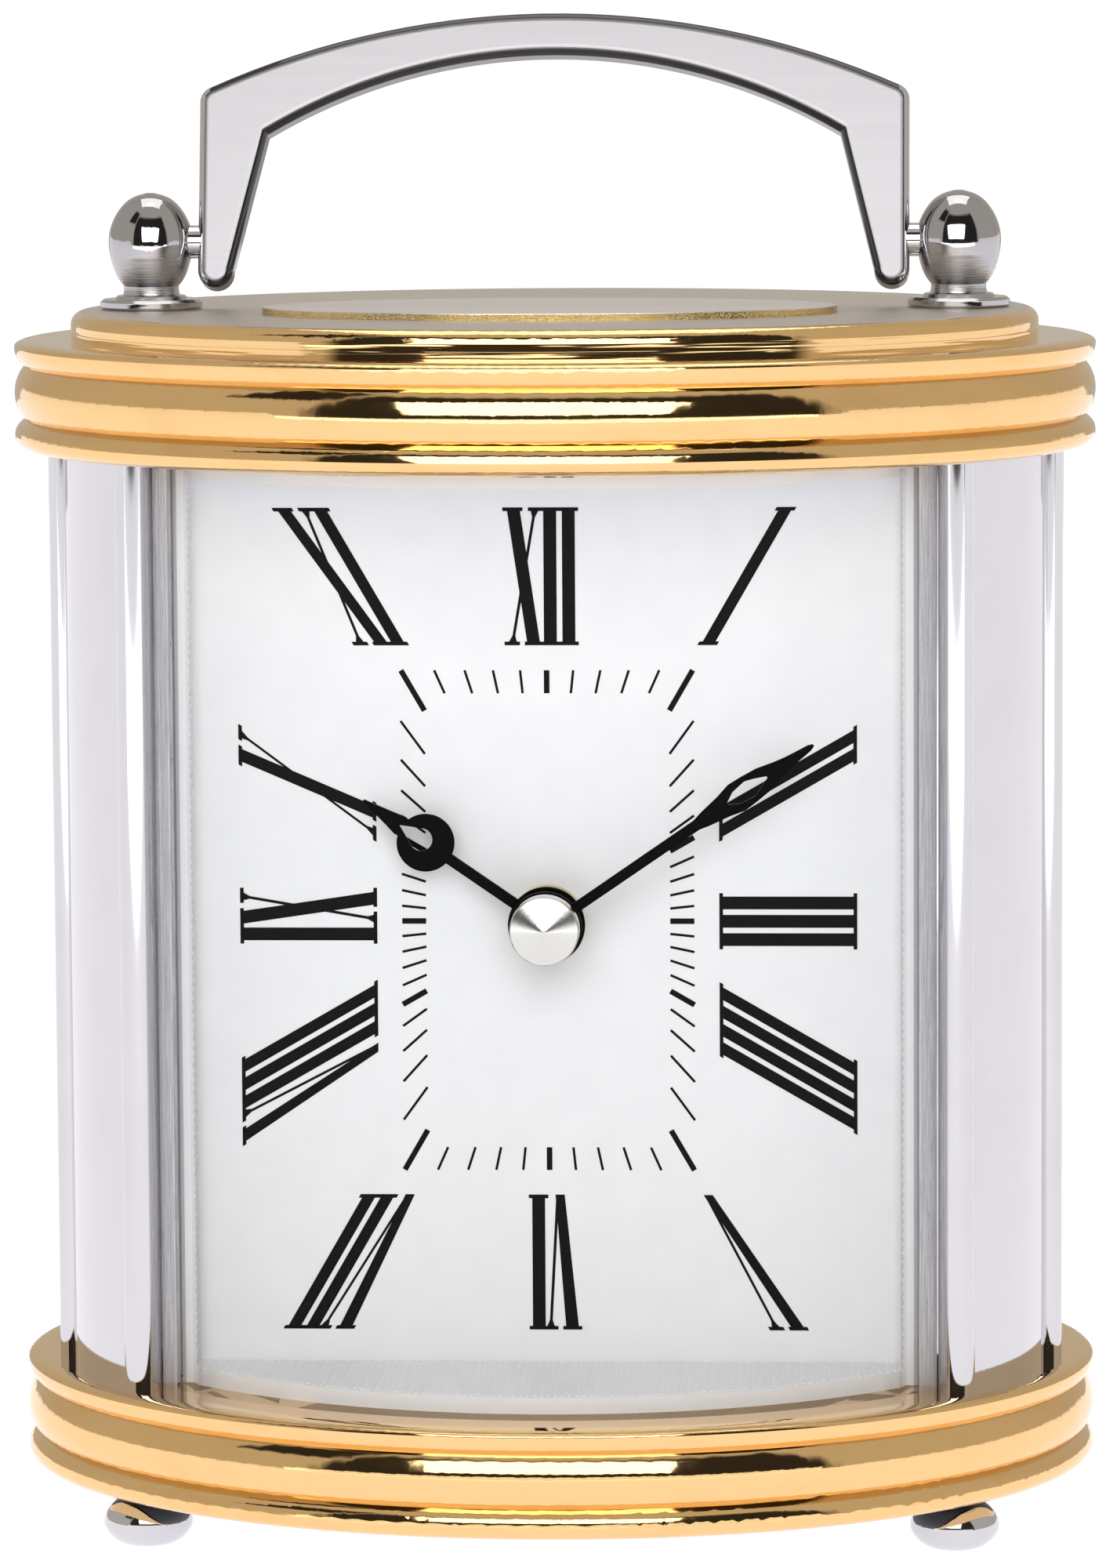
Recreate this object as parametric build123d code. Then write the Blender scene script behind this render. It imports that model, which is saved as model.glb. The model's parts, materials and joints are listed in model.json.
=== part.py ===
from build123d import *
import math
import os

# Mantel clock: oval gold base and cap mouldings, chrome pilaster sides, a bowed clear window, a flat dial
# with a quartz movement behind it, two turned finials and a swinging carrying handle between them.
# Millimetres, +Z up, front towards -Y, +X to the viewer's right. The feet stand on z = 0.

# ---------------------------------------------------------------- overall sizes
CASE_HALF_W = 57.0          # oval moulding, half width (X)
CASE_HALF_D = 47.0          # oval moulding, half depth (Y)
FOOT_H = 5.7                # floor to the underside of the base moulding
BODY_H = 96.4               # clear height between the two mouldings
MOULD_H = 11.5              # height of each moulding

# ---------------------------------------------------------------- moulding profile (three beads)
GROOVE_LOW = 3.2            # lower groove above the moulding's underside
GROOVE_HIGH = 8.8           # upper groove above the moulding's underside
GROOVE_IN = 1.05            # groove depth
CREST_LOW = 1.5             # crest of the lowest bead
CREST_TOP = 10.8            # crest of the top bead
EDGE_IN = 2.0               # where the rounded edges run out on the flat faces
PLATE_T = 3.0               # web of each moulding, next to the body
POCKET_IN = 7.5             # pocket wall inset from the outline
REBATE_IN = 3.6             # rebate for the bottom plate
REBATE_D = 2.5
BOTTOM_PLATE_T = 2.0

# ---------------------------------------------------------------- body
LEDGE_SIDE = 3.4            # moulding stands out past the body, each side
LEDGE_FRONT = 5.2           # and at the front and back
PANEL_IN = 1.5              # side panel set back behind the ribs
PANEL_T = 2.2
RIB_IN_X = 11.2             # front rib's centre, inward from the body's side
RIB_IN_Y = 18.8             # and back from the body's front
RIB_FRONT_R = 1.9
RIB_MID_Y = -1.6            # middle rib, at the widest part of the body
RIB_MID_R = 1.5
SHELL_IN = 0.8              # rear shell set back behind the ribs
SHELL_T = 2.0
BACK_IN = 5.8               # flat back, inward from the body's oval
SEAT_T = 2.6                # web that the dial rests against
SEAT_W = 4.9                # seat reaches this far in from the front rib's centre

# ---------------------------------------------------------------- window, dial and dial surround
WIN_T = 3.2
WIN_IN = 0.3                # window's front, back from the body's oval
WIN_END_X = 3.7             # end of the bow, inward from the front rib's centre
WIN_END_Y = 3.1             # and ahead of it
DIAL_BACK = 4.0             # dial face behind the front rib's centre
DIAL_T = 1.0
DIAL_SIDE_GAP = 0.3         # dial to the front rib
DIAL_GAP = 0.1              # dial to the mouldings, top and bottom
TRAY_IN = 5.5               # clear opening of the surround, in from the front rib's centre
TRAY_WALL = 1.5
TRAY_FLOOR = 1.7
TRAY_GAP = 0.1

# ---------------------------------------------------------------- cap tier, plaque, finials, handle
TIER_IN = 6.0
TIER_H = 2.95
TIER_EDGE_R = 1.4
PLAQUE_SIDE_GAP = 7.2       # plaque to the finial flanges
PLAQUE_FRONT_GAP = 16.3     # plaque to the tier's front
PLAQUE_HALF_D = 15.2
PLAQUE_T = 0.75
FINIAL_IN = 8.4             # finial's centre, in from the tier's side
FINIAL_FLANGE_R = 5.4
FINIAL_FLANGE_T = 1.1
FINIAL_NECK_R = 2.9
FINIAL_BALL_R = 4.45
FINIAL_BALL_RZ = 5.3
PIVOT_H = 7.05              # handle pivot above the tier's top
STUD_R = 1.5
STUD_FIT = 0.1              # radial clearance of studs in plain holes
STUD_ROOM = 0.8             # foot stud's end to the bottom of its hole
HANDLE_BALL_GAP = 0.7       # leg to the finial's ball
HANDLE_RISE = 24.2          # pivot to the top of the handle, along its legs
HANDLE_T = 4.0
HANDLE_LEAN = 14.0          # handle leans back at rest, degrees from upright
HANDLE_OUT_R = 88.4         # outer arch radius
HANDLE_IN_R = 58.3          # inner arch radius
HANDLE_CROWN = 4.5          # arch thickness at the middle
HANDLE_SHOULDER_W = 7.25    # leg width where it meets the arch
HANDLE_LEG_W = 3.7          # leg width at the bottom
HANDLE_LEG_DROP = 5.1       # leg end below the pivot
HANDLE_EDGE = 1.0           # rounding of the handle's long edges
TRUNNION_R = 1.75
TRUNNION_FIT = 0.07
TRUNNION_L = 3.4

# ---------------------------------------------------------------- feet and screws
FOOT_SHARE_X = 0.7404        # foot's centre, as a share of the moulding's half width
FOOT_SHARE_Y = 0.4574        # and of its half depth
FOOT_R = 4.65
FOOT_NECK_R = 2.6
FOOT_PAD_R = 2.2
SCREW_R = 1.15
SCREW_FIT = 0.1
SCREW_HEAD_R = 1.8
SCREW_HEAD_H = 1.7
SCREW_GRIP = 9.5            # thread length inside the body pieces
BOSS_R = 2.9
BOSS_A_BACK = 9.5           # front side boss behind the front rib's centre
BOSS_B_IN = 6.8             # middle side boss, in from the body's side
BOSS_B_AHEAD = 3.4          # and ahead of the middle rib
REAR_BOSS_IN = 2.3          # rear boss, in from the shell's inner wall
REAR_BOSS_DIR = 47.5        # its place round the oval, degrees
NUT_AF_R = 2.7              # finial nuts, corner radius

# ---------------------------------------------------------------- back door
DOOR_MARGIN = 4.3           # opening's edge to the end of the flat back
DOOR_LOW = 11.0             # opening starts this far above the base moulding
DOOR_HIGH = 11.0            # and ends this far below the cap moulding
DOOR_GAP = 0.3
HINGE_OUT = 1.5             # hinge axis outside the flat back
HINGE_SIDE = 1.6            # hinge axis beyond the opening's edge
KNUCKLE_R = 1.4
HINGE_PIN_R = 0.8
HINGE_FIT = 0.05
LEAF_T = 1.0
LEAF_W = 3.6
KNUCKLE_L = 4.0
KNUCKLE_GAP = 0.2
HINGE_OFFSET = 20.0         # hinges above and below the body's mid height
PULL_R = 2.4

# ---------------------------------------------------------------- movement
MOV_WALL = 1.2
MOV_FRONT_T = 1.6
LID_T = 1.2
BUSH_R = 2.9
BUSH_L = 2.6                # bush length ahead of the movement case
NUT_R = 3.8
NUT_T = 1.3
NUT_FIT = 0.05
PIPE_R = 1.85               # hour pipe
ARBOR_R = 1.2               # minute arbor
RUN_FIT = 0.05              # running clearance, radial
PIVOT_R = 0.8
THREAD_R = 0.9
CELL_R = 7.0                # single cell, AA size
CELL_L = 49.5
CELL_NUB = 1.0
CELL_ROOM = 1.0             # bay height over the cell
CONTACT_ROOM = 1.55         # bay length over each end of the cell
CONTACT_T = 0.4
PCB_SIZE = 18.0
PCB_EDGE = 2.5              # board's edge to the movement's outside

# motion work: two gear pairs on the same centre distance, and a setting pinion of the first kind
MOD_1 = 0.30                # minute pinion, minute wheel, setting pinion
PINION_1 = 12
WHEEL_1 = 36
PINION_2 = 10               # on the minute wheel, drives the hour wheel
WHEEL_2 = 40
GEAR_T = 0.8
GEAR_GAP = 0.5
GEAR_PLAY = 0.16            # share of the tooth given up as backlash
GEAR_DIR = 45.0             # direction of the minute wheel from the shaft, degrees above +X

# ---------------------------------------------------------------- hands
HAND_T = 0.4
HOUR_GAP = 3.0              # dial face to the back of the hour hand
MINUTE_GAP = 5.4            # dial face to the back of the minute hand
HAND_SIDE_GAP = 3.3         # minute hand's tip to the surround's side
HOUR_SHORT = 10.65          # hour hand shorter than the minute hand
HOUR_HUB_R = 4.0
MINUTE_HUB_R = 3.8
CONE_R = 3.6
CONE_H = 3.3
MINUTE_ANGLE = 55.5         # clockwise from twelve, seen from the front
HOUR_ANGLE = 304.6

# ---------------------------------------------------------------- levels that follow from the sizes
BODY_HALF_W = CASE_HALF_W - LEDGE_SIDE
BODY_HALF_D = CASE_HALF_D - LEDGE_FRONT
RIB_FRONT = (BODY_HALF_W - RIB_IN_X, RIB_IN_Y - BODY_HALF_D)
BACK_Y = BODY_HALF_D - BACK_IN
SEAT_X = RIB_FRONT[0] - SEAT_W
DIAL_Y = RIB_FRONT[1] + DIAL_BACK           # front face of the dial
DIAL_HALF_W = RIB_FRONT[0] - RIB_FRONT_R - DIAL_SIDE_GAP
TRAY_HALF_W = RIB_FRONT[0] - TRAY_IN
WIN_FRONT = BODY_HALF_D - WIN_IN            # window's front, ahead of the case centre
WIN_HALF_W = RIB_FRONT[0] - WIN_END_X
WIN_SAG = WIN_FRONT + RIB_FRONT[1] - WIN_END_Y
WIN_R = (WIN_HALF_W ** 2 + WIN_SAG ** 2) / (2 * WIN_SAG)
FLAT_HALF_W = (BODY_HALF_W - SHELL_IN) * math.sqrt(1 - (BACK_Y / (BODY_HALF_D - SHELL_IN)) ** 2)
DOOR_HALF_W = FLAT_HALF_W - DOOR_MARGIN
FOOT_X = CASE_HALF_W * FOOT_SHARE_X
FOOT_Y = CASE_HALF_D * FOOT_SHARE_Y
FINIAL_X = CASE_HALF_W - TIER_IN - FINIAL_IN
HANDLE_HALF_W = FINIAL_X - FINIAL_BALL_R - HANDLE_BALL_GAP
HANDLE_SHOULDER_X = HANDLE_HALF_W - HANDLE_SHOULDER_W
PLAQUE_HALF_W = FINIAL_X - FINIAL_FLANGE_R - PLAQUE_SIDE_GAP
PLAQUE_Y = PLAQUE_FRONT_GAP + PLAQUE_HALF_D + TIER_IN - CASE_HALF_D
SIDE_BOSSES = [(RIB_FRONT[0] + 0.1, RIB_FRONT[1] + BOSS_A_BACK),
               (BODY_HALF_W - BOSS_B_IN, RIB_MID_Y - BOSS_B_AHEAD)]
REAR_BOSS = ((BODY_HALF_W - SHELL_IN - SHELL_T - REAR_BOSS_IN) * math.cos(math.radians(REAR_BOSS_DIR)),
             (BODY_HALF_D - SHELL_IN - SHELL_T - REAR_BOSS_IN) * math.sin(math.radians(REAR_BOSS_DIR)))
MOV_HALF = (CELL_L + CELL_NUB) / 2 + CONTACT_ROOM + MOV_WALL   # square movement case, half width
MOV_D = MOV_FRONT_T + 2 * CELL_R
BAY_H = 2 * CELL_R + CELL_ROOM
BASE_Z = FOOT_H
BODY_Z = BASE_Z + MOULD_H           # top of the base moulding
CAP_Z = BODY_Z + BODY_H             # underside of the cap moulding
LEDGE_Z = CAP_Z + MOULD_H           # top of the cap moulding
TIER_Z = LEDGE_Z + TIER_H           # top of the tier
PIVOT_Z = TIER_Z + PIVOT_H
SHAFT_Z = BODY_Z + BODY_H / 2
MOV_Y0 = DIAL_Y + DIAL_T            # front face of the movement case
MOV_Y1 = MOV_Y0 + MOV_D             # back face of its lid
CENTRES = MOD_1 * (PINION_1 + WHEEL_1) / 2
MOD_2 = 2 * CENTRES / (PINION_2 + WHEEL_2)


# ================================================================ helpers
def oval(half_w, half_d):
    return make_face(Ellipse(half_w, half_d).edges())


def outline(inset):
    """The moulding's oval, set in by `inset`."""
    return oval(CASE_HALF_W - inset, CASE_HALF_D - inset)


def body_oval(inset):
    return oval(BODY_HALF_W - inset, BODY_HALF_D - inset)


def box(x0, x1, y0, y1, z0, z1):
    return Pos((x0 + x1) / 2, (y0 + y1) / 2, (z0 + z1) / 2) * Box(x1 - x0, y1 - y0, z1 - z0)


def rect(x0, x1, y0, y1):
    return Pos((x0 + x1) / 2, (y0 + y1) / 2) * Rectangle(x1 - x0, y1 - y0)


def prism(face, z0, z1):
    """Plan face drawn in XY, extruded from z0 to z1."""
    return Pos(0, 0, z0) * extrude(face, z1 - z0)


def slab(face, y0, y1):
    """Front-view face drawn in (X, Z), filling y0 to y1."""
    return Pos(0, y1, 0) * extrude(Plane.XZ * face, y1 - y0)


def rod_z(x, y, r, z0, z1):
    return Pos(x, y, (z0 + z1) / 2) * Cylinder(r, z1 - z0)


def rod_y(x, z, r, y0, y1):
    return Pos(x, (y0 + y1) / 2, z) * Rot(90, 0, 0) * Cylinder(r, y1 - y0)


def rod_x(y, z, r, x0, x1):
    return Pos((x0 + x1) / 2, y, z) * Rot(0, 90, 0) * Cylinder(r, x1 - x0)


def mirrored(shape):
    return mirror(shape, Plane.YZ)


def both_sides(points):
    return [(sx * x, y) for x, y in points for sx in (-1, 1)]


# ================================================================ base and cap mouldings
def moulding_ring():
    """Three-bead ring with its underside at z = 0; the section runs in to the pocket wall."""
    low = Bezier((-EDGE_IN, 0), (-EDGE_IN * 0.45, 0), (0, CREST_LOW * 0.45), (0, CREST_LOW))
    bead_low = Bezier((0, CREST_LOW), (0, CREST_LOW + 0.9), (-0.45, GROOVE_LOW - 0.5), (-GROOVE_IN, GROOVE_LOW))
    middle = ThreePointArc((-GROOVE_IN, GROOVE_LOW), (0, (GROOVE_LOW + GROOVE_HIGH) / 2), (-GROOVE_IN, GROOVE_HIGH))
    bead_top = Bezier((-GROOVE_IN, GROOVE_HIGH), (-0.45, GROOVE_HIGH + 0.5), (0, CREST_TOP - 0.9), (0, CREST_TOP))
    top = Bezier((0, CREST_TOP), (0, CREST_TOP + 0.45), (-EDGE_IN * 0.45, MOULD_H), (-EDGE_IN, MOULD_H))
    inner = POCKET_IN + 0.5
    web = Polyline((-EDGE_IN, MOULD_H), (-inner, MOULD_H), (-inner, 0), (-EDGE_IN, 0))
    section = make_face([low, bead_low, middle, bead_top, top, *web.edges()])
    path = Ellipse(CASE_HALF_W, CASE_HALF_D).edges()[0]
    plane = Plane(origin=(CASE_HALF_W, 0, 0), x_dir=(1, 0, 0), z_dir=(0, -1, 0))
    return sweep(plane * section, path=path)


def base_moulding(ring):
    solid = Pos(0, 0, BASE_Z) * ring + prism(outline(POCKET_IN - 0.6), BODY_Z - PLATE_T, BODY_Z)
    solid -= prism(outline(POCKET_IN), BASE_Z - 1, BODY_Z - PLATE_T)
    solid -= prism(outline(REBATE_IN), BASE_Z - 1, BASE_Z + REBATE_D)
    for x, y in both_sides([(FOOT_X, FOOT_Y), (FOOT_X, -FOOT_Y)]):
        solid += rod_z(x, y, STUD_R + 1.8, BASE_Z + REBATE_D, BODY_Z - PLATE_T + 0.5)
        solid -= rod_z(x, y, STUD_R + STUD_FIT, BASE_Z - 1, BODY_Z - PLATE_T)
    for x, y in both_sides(SIDE_BOSSES + [REAR_BOSS]):
        solid -= rod_z(x, y, SCREW_R + SCREW_FIT, BASE_Z, BODY_Z + 1)
    return solid


def cap_moulding(ring):
    solid = Pos(0, 0, CAP_Z) * ring + prism(outline(POCKET_IN - 0.6), CAP_Z, CAP_Z + PLATE_T)
    solid -= prism(outline(POCKET_IN), CAP_Z + PLATE_T, LEDGE_Z + 1)
    for x, y in both_sides([(FINIAL_X, 0)]):
        solid -= rod_z(x, y, STUD_R + STUD_FIT, CAP_Z - 1, LEDGE_Z)
    for x, y in both_sides(SIDE_BOSSES + [REAR_BOSS]):
        solid -= rod_z(x, y, SCREW_R + SCREW_FIT, CAP_Z - 1, LEDGE_Z)
    return solid


def bottom_plate():
    top = BASE_Z + REBATE_D
    plate = prism(outline(REBATE_IN + 0.15), top - BOTTOM_PLATE_T, top)
    for x, y in both_sides([(FOOT_X, FOOT_Y), (FOOT_X, -FOOT_Y)]):
        plate -= rod_z(x, y, STUD_R + STUD_FIT, BASE_Z - 1, top + 1)
    return plate


def foot(x, y):
    """Ball foot with a neck that clamps the bottom plate and a stud up into the base."""
    seat = BASE_Z + REBATE_D - BOTTOM_PLATE_T
    stud_top = BODY_Z - PLATE_T - STUD_ROOM
    neck_z = FOOT_H * 0.86
    ball = Spline((FOOT_PAD_R, 0), (FOOT_R * 0.81, FOOT_H * 0.13), (FOOT_R, FOOT_H * 0.42),
                  (FOOT_R * 0.85, FOOT_H * 0.7), (FOOT_NECK_R, neck_z))
    rest = Polyline((FOOT_NECK_R, neck_z), (FOOT_NECK_R, seat), (STUD_R, seat), (STUD_R, stud_top), (0, stud_top),
                    (0, 0), (FOOT_PAD_R, 0))
    return Pos(x, y, 0) * revolve(Plane.XZ * make_face([ball, *rest.edges()]), Axis.Z)


def case_screws(upper):
    """Screws that pull the side pieces and rear shell to a moulding, six separate solids."""
    group = []
    for x, y in both_sides(SIDE_BOSSES + [REAR_BOSS]):
        if upper:
            head = rod_z(x, y, SCREW_HEAD_R, CAP_Z + PLATE_T, CAP_Z + PLATE_T + SCREW_HEAD_H)
            group.append(head + rod_z(x, y, SCREW_R, CAP_Z - SCREW_GRIP, CAP_Z + PLATE_T))
        else:
            head = rod_z(x, y, SCREW_HEAD_R, BODY_Z - PLATE_T - SCREW_HEAD_H, BODY_Z - PLATE_T)
            group.append(head + rod_z(x, y, SCREW_R, BODY_Z - PLATE_T, BODY_Z + SCREW_GRIP))
    return group


# ================================================================ body
def drill_bosses(solid, points):
    for x, y in points:
        for z0, z1 in ((BODY_Z - 1, BODY_Z + SCREW_GRIP + 1), (CAP_Z - SCREW_GRIP - 1, CAP_Z + 1)):
            solid -= rod_z(x, y, SCREW_R + SCREW_FIT / 2, z0, z1)
    return solid


def side_right():
    """Front rib, set-back panel and middle rib, with the dial's seat and two screw bosses inside."""
    rx, ry = RIB_FRONT
    mid_x = BODY_HALF_W - RIB_MID_R
    seat_y = DIAL_Y + DIAL_T
    panel = body_oval(PANEL_IN) - body_oval(PANEL_IN + PANEL_T)
    panel &= rect(20, BODY_HALF_W, ry + 1.0, RIB_MID_Y)
    plan = panel + Pos(rx, ry) * Circle(RIB_FRONT_R) + Pos(mid_x, RIB_MID_Y) * Circle(RIB_MID_R)
    plan += rect(DIAL_HALF_W + 0.5, rx + 1.6, ry, seat_y + SEAT_T)
    plan += rect(SEAT_X, rx + 1.6, seat_y, seat_y + SEAT_T)
    bx, by = SIDE_BOSSES[0]
    plan += rect(bx - 1.5, bx + 4.6, seat_y + SEAT_T - 1, by + 1.5)
    for x, y in SIDE_BOSSES:
        plan += Pos(x, y) * Circle(BOSS_R)
    return drill_bosses(prism(plan, BODY_Z, CAP_Z), SIDE_BOSSES)


def rear_shell():
    """Oval rear wall with a flat back, the door opening and the fixed hinge knuckles."""
    keep_out = rect(-BODY_HALF_W, BODY_HALF_W, RIB_MID_Y + RIB_MID_R + 0.1, BACK_Y)
    keep_in = rect(-BODY_HALF_W, BODY_HALF_W, -5, BACK_Y - SHELL_T)
    plan = (body_oval(SHELL_IN) & keep_out) - (body_oval(SHELL_IN + SHELL_T) & keep_in)
    bosses = both_sides([REAR_BOSS])
    for x, y in bosses:
        plan += Pos(x, y) * Circle(BOSS_R)
    solid = drill_bosses(prism(plan, BODY_Z, CAP_Z), bosses)
    solid -= box(-DOOR_HALF_W, DOOR_HALF_W, BACK_Y - SHELL_T - 3, BACK_Y + 1, BODY_Z + DOOR_LOW, CAP_Z - DOOR_HIGH)
    for z in hinge_levels():
        for z0 in (z - KNUCKLE_L * 1.5, z + KNUCKLE_L / 2):
            solid += knuckle(z0, z0 + KNUCKLE_L, -1)
    return solid


HINGE_X = -DOOR_HALF_W - HINGE_SIDE
HINGE_Y = BACK_Y + HINGE_OUT


def hinge_levels():
    middle = (BODY_Z + CAP_Z) / 2
    return (middle - HINGE_OFFSET, middle + HINGE_OFFSET)


def knuckle(z0, z1, side):
    """Knuckle with its leaf lying on the flat back; side -1 is the shell's, +1 the door's."""
    x1 = HINGE_X + side * LEAF_W
    leaf = rect(min(HINGE_X, x1), max(HINGE_X, x1), BACK_Y, BACK_Y + LEAF_T)
    plan = leaf + Pos(HINGE_X, HINGE_Y) * Circle(KNUCKLE_R)
    plan -= Pos(HINGE_X, HINGE_Y) * Circle(HINGE_PIN_R + HINGE_FIT)
    return prism(plan, z0, z1)


def rear_door():
    x0, x1 = -DOOR_HALF_W + DOOR_GAP, DOOR_HALF_W - DOOR_GAP
    z0, z1 = BODY_Z + DOOR_LOW + DOOR_GAP, CAP_Z - DOOR_HIGH - DOOR_GAP
    solid = box(x0, x1, BACK_Y - SHELL_T, BACK_Y, z0, z1)
    for z in hinge_levels():
        solid += knuckle(z - KNUCKLE_L / 2 + KNUCKLE_GAP, z + KNUCKLE_L / 2 - KNUCKLE_GAP, 1)
    return solid - rod_y(DOOR_HALF_W - 5, (z0 + z1) / 2, 1.0, BACK_Y - SHELL_T - 1, BACK_Y + 1)


def door_pull():
    x, z = DOOR_HALF_W - 5, (BODY_Z + DOOR_LOW + CAP_Z - DOOR_HIGH) / 2
    knob = rod_y(x, z, 1.3, BACK_Y, BACK_Y + 1.4) + rod_y(x, z, PULL_R, BACK_Y + 1.2, BACK_Y + 3.4)
    return knob + rod_y(x, z, 0.95, BACK_Y - SHELL_T, BACK_Y + 0.1)


def hinge_pins():
    half = KNUCKLE_L * 1.5
    return [rod_z(HINGE_X, HINGE_Y, HINGE_PIN_R, z - half, z + half) for z in hinge_levels()]


# ================================================================ window, dial, surround
WIN_CY = WIN_R - WIN_FRONT          # centre of the window's arc


def arc_y(r, x):
    return WIN_CY - math.sqrt(r * r - x * x)


def window():
    """Bowed clear sheet whose ends turn back to stand beside the front ribs."""
    r_in = WIN_R - WIN_T
    x_out, x_in = WIN_HALF_W, WIN_HALF_W - 2.1
    x_heel = RIB_FRONT[0] - RIB_FRONT_R - 0.15
    y_heel = RIB_FRONT[1] + 0.1
    outer = ThreePointArc((-x_out, arc_y(WIN_R, x_out)), (0, -WIN_FRONT), (x_out, arc_y(WIN_R, x_out)))
    inner = ThreePointArc((x_in, arc_y(r_in, x_in)), (0, WIN_CY - r_in), (-x_in, arc_y(r_in, x_in)))
    right = Polyline((x_out, arc_y(WIN_R, x_out)), (x_heel, y_heel), (x_in + 0.6, y_heel + 0.6),
                     (x_in, arc_y(r_in, x_in)))
    left = Polyline((-x_in, arc_y(r_in, x_in)), (-x_in - 0.6, y_heel + 0.6), (-x_heel, y_heel),
                    (-x_out, arc_y(WIN_R, x_out)))
    return prism(make_face([outer, *right.edges(), inner, *left.edges()]), BODY_Z, CAP_Z)


def dial_surround():
    """White tray between dial and window: floor, ceiling and two side strips."""
    heel = RIB_FRONT[1] + 0.8
    wide = TRAY_HALF_W + TRAY_WALL
    plan = Pos(0, WIN_CY) * Circle(WIN_R - WIN_T - TRAY_GAP)
    plan &= rect(-wide, wide, -WIN_FRONT, DIAL_Y)
    for s in (-1, 1):
        a, b = sorted((s * (WIN_HALF_W - 2.2), s * (wide + 1)))
        plan -= rect(a, b, -WIN_FRONT, heel)
    solid = prism(plan, BODY_Z, CAP_Z)
    return solid - box(-TRAY_HALF_W, TRAY_HALF_W, -WIN_FRONT - 1, DIAL_Y + 1, BODY_Z + TRAY_FLOOR, CAP_Z - TRAY_FLOOR)


def dial():
    plate = box(-DIAL_HALF_W, DIAL_HALF_W, DIAL_Y, DIAL_Y + DIAL_T, BODY_Z + DIAL_GAP, CAP_Z - DIAL_GAP)
    return plate - rod_y(0, SHAFT_Z, BUSH_R + NUT_FIT, DIAL_Y - 1, DIAL_Y + DIAL_T + 1)


# ================================================================ cap tier, plaque, finials, handle
def cap_tier():
    solid = prism(outline(TIER_IN), LEDGE_Z, TIER_Z)
    solid = fillet(solid.edges().group_by(Axis.Z)[-1], TIER_EDGE_R)
    line = prism(outline(TIER_IN - 1) - outline(TIER_IN + 0.3), LEDGE_Z + 0.75, LEDGE_Z + 1.05)
    solid -= line
    for x, y in both_sides([(FINIAL_X, 0)]):
        solid -= rod_z(x, y, STUD_R + STUD_FIT, LEDGE_Z - 1, TIER_Z + 1)
    return solid


def plaque():
    return Pos(0, PLAQUE_Y, 0) * prism(oval(PLAQUE_HALF_W, PLAQUE_HALF_D), TIER_Z, TIER_Z + PLAQUE_T)


def finial(side):
    """Turned finial: flange, ringed neck, slightly tall ball and a stud through the tier and cap."""
    z = TIER_Z
    ball_z = PIVOT_Z - 0.1
    f, n = FINIAL_FLANGE_R, FINIAL_NECK_R
    neck_z = z + FINIAL_FLANGE_T + 0.9
    dz = ball_z - (neck_z + 0.45)
    r_low = FINIAL_BALL_R * math.sqrt(max(0.05, 1 - (dz / FINIAL_BALL_RZ) ** 2))
    k = 0.7071
    ball = [(FINIAL_BALL_R * math.cos(a), ball_z + FINIAL_BALL_RZ * math.sin(a))
            for a in (-0.35, 0.0, 0.4, 0.8, 1.2, 1.45)]
    stem = Polyline((0, z), (f - 0.25, z), (f, z + 0.3), (f, z + FINIAL_FLANGE_T - 0.3),
                    (f - 0.35, z + FINIAL_FLANGE_T), (n + 1.0, z + FINIAL_FLANGE_T),
                    (n + 0.7, z + FINIAL_FLANGE_T + 0.35), (n + 0.1, z + FINIAL_FLANGE_T + 0.45),
                    (n, neck_z), (max(n, r_low), neck_z + 0.45))
    round_part = Spline((max(n, r_low), neck_z + 0.45), *ball, (0, ball_z + FINIAL_BALL_RZ),
                        tangents=[(k, k), (-1, 0)])
    close = Line((0, ball_z + FINIAL_BALL_RZ), (0, z))
    body = revolve(Plane.XZ * make_face([*stem.edges(), round_part, close]), Axis.Z)
    body = Pos(side * FINIAL_X, 0, 0) * body
    body += rod_z(side * FINIAL_X, 0, STUD_R, CAP_Z - 2.9, z + 0.2)
    inner = HANDLE_HALF_W - 1
    outer = HANDLE_HALF_W + TRUNNION_L + 0.3
    a, b = sorted((side * inner, side * outer))
    return body - rod_x(0, PIVOT_Z, TRUNNION_R + TRUNNION_FIT, a, b)


def finial_nuts():
    nuts = []
    for x, y in both_sides([(FINIAL_X, 0)]):
        hexagon = Pos(x, y) * (RegularPolygon(NUT_AF_R, 6) - Circle(STUD_R + NUT_FIT))
        nuts.append(prism(hexagon, CAP_Z - 2.4, CAP_Z))
    return nuts


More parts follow.
